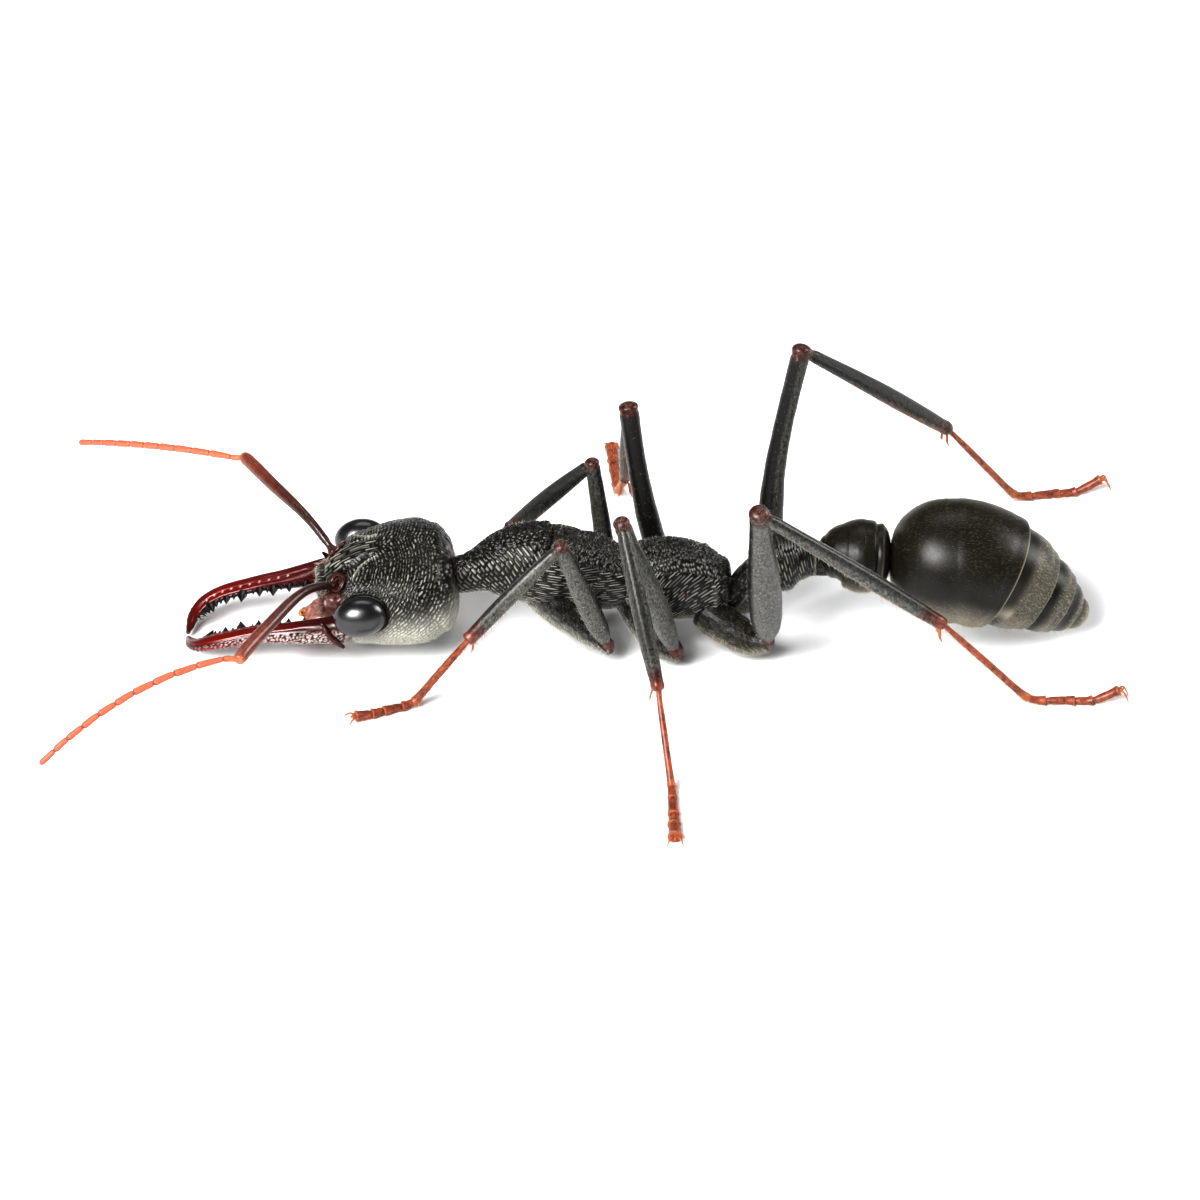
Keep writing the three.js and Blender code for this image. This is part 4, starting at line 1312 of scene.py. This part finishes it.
# ---------------------------------------------------------------- legs
LEG_LOOKS = {
    "fore": {"femur": [0.14, 0.26, 0.29, 0.28, 0.25, 0.22, 0.21],
             "far_femur": [0.16, 0.23, 0.24, 0.24, 0.22, 0.2, 0.2],
             "tibia": [0.15, 0.17, 0.2, 0.21, 0.2, 0.18], "far_tibia": 1.15, "bow": 0.0,
             "foot": 0.12, "spread": 1.1, "lift": 0.06, "red": 0.85, "black": 0.5, "spurs": 1},
    "mid": {"femur": [0.14, 0.26, 0.31, 0.3, 0.25, 0.22, 0.23],
            "far_femur": [0.22, 0.31, 0.31, 0.28, 0.26, 0.26, 0.27],
            "tibia": [0.17, 0.19, 0.22, 0.23, 0.2, 0.16], "far_tibia": 0.75, "bow": 0.12,
            "foot": 0.1, "spread": 1.55, "lift": 0.06, "red": 0.92, "black": 0.3, "spurs": 2},
    "hind": {"femur": [0.16, 0.38, 0.45, 0.42, 0.35, 0.28, 0.27],
             "far_femur": [0.27, 0.34, 0.33, 0.28, 0.25, 0.25, 0.26],
             "tibia": [0.17, 0.18, 0.21, 0.23, 0.21, 0.17], "far_tibia": 1.0, "bow": 0.24,
             "foot": 0.11, "spread": 1.15, "lift": 0.32, "red": 0.9, "black": 0.3, "spurs": 2},
}
KNEE_INSET = 0.3       # how far a CAD leg piece runs past its joint
KNUCKLE_INSET = 0.25   # how far it starts beyond the coxa's end
TARSUS_JOINTS = [0.0, 0.46, 0.65, 0.78, 0.87, 1.0]
SOLE = 0.2             # how high the middle line of a CAD foot lies
# The far legs are darkened as painted shade.
FAR_SHADE = 0.4        # how much darker the far legs are


def leg_points(label):
    """The joints of a leg, from its CAD nodes: knuckle, knee, ankle, heel and tip."""
    low, high = straight(f"{label}_femur")
    axis = unit(high - low)
    knuckle, knee = low - axis * KNUCKLE_INSET, high - axis * KNEE_INSET
    low, high = straight(f"{label}_tibia")
    ankle = low + unit(high - low) * KNEE_INSET
    foot = f"{label}_tarsus"
    level = (ankle[2] + 0.5) / 2
    rim = section([foot], np.array([ankle[0], ankle[1], level]), UP, 3.0)
    fall = (rim.max(axis=0) + rim.min(axis=0)) / 2 - ankle
    heel = ankle + fall * (ankle[2] - SOLE) / (ankle[2] - level)
    corners, _ = cad(foot)
    low_points = corners[corners[:, 2] < 0.45]
    reach = np.linalg.norm((low_points - heel)[:, :2], axis=1)
    tip = low_points[reach > reach.max() - 0.2].mean(axis=0)
    return knuckle, knee, ankle, heel, tip


def foot_line(ankle, heel, tip, radius, lift):
    """Down from the ankle, round the heel, along the floor and up at the last joint."""
    heel = np.array([heel[0], heel[1], radius + 0.02])
    tip = np.array([tip[0], tip[1], radius]) - unit(tip - heel) * [0.12, 0.12, 0]
    before = heel + (ankle - heel) * 0.1
    after = heel + (tip - heel) * 0.14
    points = [ankle, ankle * 0.66 + before * 0.34, ankle * 0.33 + before * 0.67, before]
    points += [before * 0.25 + heel * 0.5 + after * 0.25]
    points += [after, after * 0.67 + tip * 0.33, after * 0.33 + tip * 0.67, tip + UP * lift]
    return resample(np.array(points), 80)


def make_trochanter(name, knuckle, thigh, shin, paints):
    """The small joint between the coxa and the thigh."""
    line = [knuckle - thigh * 0.08, knuckle + thigh * 0.14, knuckle + thigh * 0.34]
    size = [0.16, 0.18, 0.14]
    shell = Shell(line, size, size, (0.12, 0.1), 24, 28, 6, 2.0, -shin)
    shell.sculpt(ripple(shell.grid, 0.15) * 0.015 - 0.03 * bell(shell.along - 0.75, 0.06))
    shell.marks["mark"] = 0.42 + 0.3 * smoothstep(0.3, 0.9, shell.along)
    add_shells(f"{name}_trochanter_shell", [shell], paints["leg"])


def make_femur(name, begin, knee, shin, looks, far, paints):
    """The thigh: grey, black on its outer side and dark red at its ends; the far thighs darker, as painted
    shade.
    """
    size = looks["far_femur"] if far else looks["femur"]
    middle = (begin + knee) / 2 - AHEAD * (looks["bow"] if far else 0)
    shell = Shell([begin, middle, knee], size, size, (0.1, 0.16), 120, 48, 8, 2.0, -shin)
    shell.sculpt(ripple(shell.grid, 0.5) * 0.012 + ripple(shell.grid, 0.07) * 0.003
                 - 0.03 * bell(shell.along - 0.955, 0.012))
    red = np.maximum(smoothstep(0.92, 0.98, shell.along) * 0.52, smoothstep(0.05, 0.0, shell.along) * 0.6)
    shell.marks["mark"] = red * (0.85 + 0.4 * ripple(shell.grid, 0.12, 50))
    black = smoothstep(looks["black"], looks["black"] + 0.4, shell.rise)
    # The far thighs are darkened all over as painted shade.
    shell.marks["dark"] = np.maximum(black, FAR_SHADE * far)
    add_shells(f"{name}_femur_shell", [shell], paints["leg"], [f"{name}_femur"])
    return shell


def make_tibia(name, knee, ankle, thigh, shin, looks, far, paints):
    """The shin: ribbed, slightly bowed, and orange-red towards the foot; the far shins darker, as painted
    shade.
    """
    bow = (knee + ankle) / 2 + unit(np.cross(shin, np.cross(thigh, shin))) * 0.03
    size = np.array(looks["tibia"]) * (looks["far_tibia"] if far else 1)
    shell = Shell([knee, bow, ankle], size, size, (0.1, 0.08), 100, 40, 6, 2.0, thigh)
    shell.sculpt(-0.03 * bell(shell.along - 0.07, 0.02) + 0.018 * bell(shell.along - 0.97, 0.015)
                 + 0.006 * np.cos(shell.angle * 4) * smoothstep(0.1, 0.3, shell.along)
                 + ripple(shell.grid, 0.07) * 0.003)
    # Less red on the far shins, as painted shade.
    red = smoothstep(looks["red"] - 0.08, 1.0, shell.along) * (0.4 if far else 1)
    red = np.maximum(red, smoothstep(0.08, 0.03, shell.along) * 0.55)
    shell.marks["mark"] = red * (0.9 + 0.3 * ripple(shell.grid, 0.12, 51))
    black = smoothstep(0.6, 0.9, shell.rise) * 0.6 * smoothstep(1.0, 0.7, shell.along)
    # The far shins are darkened all over as painted shade; the black on top is their own colour.
    shell.marks["dark"] = np.maximum(black, 1.8 * FAR_SHADE * far)
    add_shells(f"{name}_tibia_shell", [shell], paints["leg"], [f"{name}_tibia"])
    return shell


def make_leg(pair, label, paints, coats):
    """A leg's parts. The outer side of each is the one that faces away from the bent knee."""
    looks = LEG_LOOKS[pair]
    far = label == "right"
    name = f"{pair}leg_{label}"
    knuckle, knee, ankle, heel, tip = leg_points(name)
    thigh, shin = unit(knee - knuckle), unit(ankle - knee)
    coxa = make_coxa(name, knuckle, paints)
    make_trochanter(name, knuckle, thigh, shin, paints)
    femur = make_femur(name, knuckle + thigh * 0.24, knee, shin, looks, far, paints)
    tibia = make_tibia(name, knee, ankle, thigh, shin, looks, far, paints)
    line = foot_line(ankle, heel, tip, looks["foot"], looks["lift"])
    foot = make_foot(name, line, looks["foot"], looks["spread"], paints)
    make_spurs(name, knee, ankle, looks["spurs"], paints)
    comb_leg(coxa, femur, tibia, foot, coats, label)


def make_coxa(name, knuckle, paints):
    """A cone from its wide root under the body to the knuckle."""
    corners, _ = cad(f"{name}_coxa")
    far = corners[np.linalg.norm(corners - knuckle, axis=1).argsort()[-12:]].mean(axis=0)
    fore, hind = name.startswith("fore"), name.startswith("hind")
    root = far + UP * (0.5 if fore else 0.25) + AHEAD * (0.2 if hind else 0.08)
    axis = knuckle - root
    sag = UP * (0.02 if fore else 0.18)
    spine = [root, root + axis * 0.25 - sag / 2, root + axis * 0.5 - sag, root + axis * 0.75 - sag, knuckle]
    wide = [0.5, 0.49, 0.42, 0.33, 0.22] if fore else [0.46, 0.5, 0.48, 0.4, 0.25]
    shell = Shell(spine, wide, wide, (0.2, 0.1), 90, 90, 8)
    s, t = shell.unrolled()
    lumps = ripple(shell.grid, 0.4)
    grain = grains(s, t, 10, 0.07, 0.3, 30, lumps * 0.3, (0.45, 1.0))
    shell.sculpt(lumps * 0.02 + grain * 0.006)
    low = smoothstep(0.3, -0.6, shell.normals()[..., 2])
    # Painted highlights on the grain tops, stronger underneath, and pale down below.
    pale = tops_highlight(grain) * (0.07 + 0.3 * low) + (0.55 if fore else 0.4) * low
    shell.marks["mark"] = np.clip(pale, 0, 1)
    paint = paints["gaster" if hind else "cuticle"]
    add_shells(f"{name}_coxa_shell", [shell], paint, [f"{name}_coxa"])
    return shell


def make_foot(name, line, radius, spread, paints):
    """Five joints, each narrow at its root and flared at its end, then two claws and a pad."""
    shells = []
    last = len(line) - 1
    for index, (a, b) in enumerate(zip(TARSUS_JOINTS[:-1], TARSUS_JOINTS[1:])):
        part = line[int(round(a * last)):int(round(b * last)) + 1]
        width = np.array([0.6, 0.85, 0.9, 0.95, 1.15]) * radius * (1 + (spread - 1) * index / 3)
        shell = Shell(resample(part, 12), width, width * 0.92, (0.02, 0.03), 34, 20, 5)
        shell.sculpt(ripple(shell.grid, 0.06, index) * 0.005)
        shell.marks["mark"] = 0.5 * bell(shell.along - 0.97, 0.04)
        shells.append(shell)
    end = line[-1]
    ahead = unit(end - line[-6])
    side = unit(np.cross(ahead, UP))
    flat = np.cross(UP, side)
    high = end[2] - radius
    claws = []
    for way in (-1, 1):
        root = end + ahead * 0.02 + side * way * radius * 0.5
        hook = [root, root + flat * 0.1 + side * way * 0.07 + UP * 0.03,
                root + flat * 0.2 + side * way * 0.13 - UP * (0.02 + 0.4 * high),
                root + flat * 0.26 + side * way * 0.17 - UP * (0.07 + 0.9 * high)]
        width = np.array([0.034, 0.028, 0.02, 0.006])
        claws.append(Shell(hook, width, width, (0.02, 0.004), 24, 10, 4))
    pad = [end + ahead * 0.03, end + ahead * 0.09 - UP * 0.01, end + ahead * 0.13 - UP * 0.02]
    claws.append(Shell(pad, [0.04, 0.05, 0.035], [0.03, 0.035, 0.025], (0.02, 0.03), 14, 14, 5))
    for shell in claws:
        shell.tint(0.6)
    for shell in shells + claws:
        shell.grid[..., 2] = np.maximum(shell.grid[..., 2], 0.0)
    add_shells(f"{name}_foot", shells + claws, paints["foot"], [f"{name}_tarsus"])
    return shells


def make_spurs(name, knee, ankle, count, paints):
    """The movable spurs at the end of the shin, on its lower side."""
    shin = unit(ankle - knee)
    under = unit(-UP + shin * (shin @ UP))
    side = np.cross(shin, under)
    spurs = []
    for index in range(count):
        way = 0.5 * (2 * index - 1) if count > 1 else 0.0
        root = ankle - shin * 0.02 + under * 0.12 + side * way * 0.2
        tip = root + shin * 0.3 + under * 0.26 + side * way * 0.16
        line = [root, (root + tip) / 2 + under * 0.05, tip]
        spurs.append(Shell(line, [0.035, 0.04, 0.006], [0.03, 0.025, 0.006], (0.02, 0.01), 30, 12, 4))
        spurs[-1].tint(0.7)
    add_shells(f"{name}_spurs", spurs, paints["foot"])


def faces_down(skin):
    return smoothstep(0.1, -0.5, skin.normal[..., 2])


def on_pale_side(skin):
    return smoothstep(0.7, 0.35, skin.rise)


def on_shin_fringe(skin):
    return (skin.along > 0.3) * (skin.along - 0.2) * 1.3 * smoothstep(-0.2, -0.8, skin.rise)


def on_joint_end(skin):
    return (skin.along > 0.88) * faces_down(skin)


def comb_leg(coxa, femur, tibia, foot, coats, label):
    """Fine grey down on the bare parts' sides, pale fringes below, and orange hairs towards
    the foot."""
    down, fringe = coats[f"legs_{label}"], coats[f"fringe_{label}"]
    down.comb(coxa, 300, 0.07, 70, 20, 0.0055)
    fringe.comb(coxa, 320, 0.12, 45, 25, 0.0075, faces_down)
    down.comb(femur, 700, 0.07, 78, 12, 0.0055, on_pale_side)
    fringe.comb(femur, 40, 0.1, 42, 20, 0.007)
    down.comb(tibia, 560, 0.07, 74, 12, 0.0055, on_pale_side)
    fringe.comb(tibia, 60, 0.11, 42, 20, 0.007, faces_down)
    coats["feet"].comb(tibia, 170, 0.17, 42, 16, 0.008, on_shin_fringe)
    for shell in foot:
        coats["feet"].comb(shell, 260, 0.11, 52, 18, 0.007)
        coats["feet"].comb(shell, 120, 0.17, 48, 16, 0.009, faces_down)
        coats["feet"].comb(shell, 300, 0.16, 40, 22, 0.009, on_joint_end)


# ---------------------------------------------------------------- the ant
HAIR_COLOURS = {   # at the root and at the tip
    "pale": ((0.6, 0.58, 0.5), (0.78, 0.76, 0.68)),
    "grey": ((0.24, 0.235, 0.21), (0.46, 0.455, 0.42)),
    "dim": ((0.09, 0.084, 0.065), (0.24, 0.225, 0.18)),
    "brown": ((0.08, 0.066, 0.03), (0.3, 0.25, 0.13)),
    "gold": ((0.42, 0.38, 0.27), (0.66, 0.6, 0.46)),
    "orange": ((0.45, 0.15, 0.05), (0.72, 0.36, 0.13)),
}
COATS = {   # the colour of each coat's hairs, and its slot
    "head": ("pale", "cuticle"), "down": ("dim", "cuticle"), "trunk": ("pale", "cuticle"),
    "gaster_front": ("brown", "gaster"), "gaster": ("gold", "gaster"),
    # The far legs' down and fringes are dimmer than the near ones', as painted shade.
    "legs_left": ("grey", "leg"), "legs_right": ("dim", "leg"),
    "fringe_left": ("pale", "leg"), "fringe_right": ("grey", "leg"),
    "feet": ("orange", "foot"), "feelers": ("orange", "flagellum"),
}


def make_paints():
    return {
        "cuticle": cuticle_paint(), "gaster": gaster_paint(), "leg": leg_paint(), "foot": foot_paint(),
        "scape": scape_paint(), "lash": lash_paint(), "jaw": jaw_paint(), "tooth": tooth_paint(),
        "eye": eye_paint(), "mouth": mouth_paint(),
    }


def make_coats():
    hairs = {name: hair_paint(f"hair_{name}", *colours) for name, colours in HAIR_COLOURS.items()}
    return {name: Coat(f"coat_{name}", hairs[hair], slot) for name, (hair, slot) in COATS.items()}


def is_bare(skin):
    x, y, z = np.moveaxis(in_head(skin.place), -1, 0)
    gap = np.stack([x, np.abs(y) - EYE_SIDE, z], -1)
    return np.linalg.norm(gap / EYE_HALF, axis=-1) > 1.15


def is_bare_below(skin):
    return is_bare(skin) * smoothstep(0.0, -0.7, skin.rise)


def is_lip(skin):
    return is_bare(skin) * (skin.along > 0.93) * (np.abs(in_head(skin.place)[..., 1]) < 0.8)


def make_head(paints, coats):
    shell = head_shell()
    smooth = head_shell()    # the hairs grow from a head without relief
    sculpt_head(shell)
    add_shells("shell_head", [shell], paints["cuticle"], ["head"])
    for side, label in ((-1, "left"), (1, "right")):
        add_shells(f"shell_eye_{label}", [eye_shell(side)], paints["eye"], [f"eye_{label}"])
        jaw = make_jaw(side, label, paints)
        coats["feelers"].comb(jaw, 8, 0.2, 45, 20, 0.008, is_under)
        scape, lash = make_feeler(side, label, paints)
        coats["feelers"].comb(scape, 120, 0.07, 65, 15, 0.006)
        coats["feelers"].comb(lash, 300, 0.06, 55, 15, 0.006)
    for mouth_part in make_mouth(paints):
        coats["feelers"].comb(mouth_part, 30, 0.14, 40, 25, 0.008)
    coats["down"].comb(smooth, 140, 0.055, 60, 25, 0.006, is_bare)
    coats["head"].comb(smooth, 560, 0.08, 60, 22, 0.0065, is_bare_below)
    coats["head"].comb(smooth, 300, 0.17, 45, 20, 0.009, is_lip)


def make_ant():
    paints = make_paints()
    coats = make_coats()
    make_head(paints, coats)
    make_trunk(paints, coats)
    make_gaster(paints, coats)
    for pair in LEG_LOOKS:
        for label in ("left", "right"):
            make_leg(pair, label, paints, coats)
    for coat in coats.values():
        coat.finish()


# ---------------------------------------------------------------- camera, floor and light
CAMERA_RISE = radians(36)      # how far the camera looks down
CAMERA_DISTANCE = 220.0
VIEW_WIDTH = 32.0              # how much of the ant's length the frame takes in
VIEW_OFFSET = (0.483, 0.102)   # where the view is centred on the floor, from the box's middle
VIEW_RAISE = 1.013             # how far up the frame is slid


def make_camera():
    data = bpy.data.cameras.new("camera")
    data.sensor_width = 36.0
    data.lens = data.sensor_width * CAMERA_DISTANCE / VIEW_WIDTH
    data.clip_start = 0.01
    data.clip_end = 10.0
    camera = add_object("camera", data)
    low, high = (np.array(corner) / MM for corner in cad_bounds)
    middle = (low + high) / 2
    aim = np.array([middle[0] + VIEW_OFFSET[0], middle[1] + VIEW_OFFSET[1], low[2]])
    view_up = np.array([0, sin(CAMERA_RISE), cos(CAMERA_RISE)])
    back = np.array([0, -cos(CAMERA_RISE), sin(CAMERA_RISE)])
    camera.location = Vector((aim + view_up * VIEW_RAISE + back * CAMERA_DISTANCE) * MM)
    camera.rotation_euler = (pi / 2 - CAMERA_RISE, 0, 0)
    bpy.context.scene.camera = camera


def make_floor():
    """A wide flat square under the ant."""
    reach = 3.0
    mesh = bpy.data.meshes.new("floor")
    corners = [(-reach, -reach, 0), (reach, -reach, 0), (reach, reach, 0), (-reach, reach, 0)]
    mesh.from_pydata(corners, [], [(0, 1, 2, 3)])
    mesh.materials.append(floor_paint())
    add_object("floor", mesh)


def add_light(name, azimuth, elevation, distance, size, power, colour=(1, 1, 1)):
    """A soft square light that faces the ant. Azimuth 0 is the camera's side, and it grows
    towards the ant's tail."""
    data = bpy.data.lights.new(name, "AREA")
    data.shape = "RECTANGLE"
    data.size, data.size_y = size
    data.energy = power
    data.color = colour
    light = add_object(name, data)
    a, e = radians(azimuth), radians(elevation)
    direction = Vector((sin(a) * cos(e), -cos(a) * cos(e), sin(e)))
    light.location = direction * distance
    light.rotation_euler = direction.to_track_quat("Z", "Y").to_euler()


def make_lights():
    add_light("key_left", -38, 42, 0.5, (0.24, 0.22), 5.2)
    add_light("panel_left", -30, 40, 0.52, (0.46, 0.38), 1.8)
    add_light("side_right", 104, 30, 0.5, (0.24, 0.24), 2.2)
    add_light("back_top", 180, 58, 0.6, (0.4, 0.24), 0.9)


def make_world():
    """White at the horizon and dark overhead."""
    world = bpy.data.worlds.new("studio")
    world.use_nodes = True
    nodes, links = world.node_tree.nodes, world.node_tree.links
    background = nodes["Background"]
    coordinates = nodes.new("ShaderNodeTexCoord")
    split = nodes.new("ShaderNodeSeparateXYZ")
    ramp = nodes.new("ShaderNodeValToRGB")
    links.new(coordinates.outputs["Generated"], split.inputs[0])
    links.new(split.outputs["Z"], ramp.inputs["Fac"])
    ramp.color_ramp.elements[0].position = 0.0
    ramp.color_ramp.elements[0].color = (0.5, 0.51, 0.53, 1)
    ramp.color_ramp.elements[1].position = 0.5
    ramp.color_ramp.elements[1].color = (0.03, 0.03, 0.033, 1)
    links.new(ramp.outputs["Color"], background.inputs["Color"])
    bpy.context.scene.world = world


make_camera()
make_floor()
make_lights()
make_world()
make_ant()
bpy.context.scene.view_settings.view_transform = "Standard"
bpy.context.scene.view_settings.gamma = 0.75
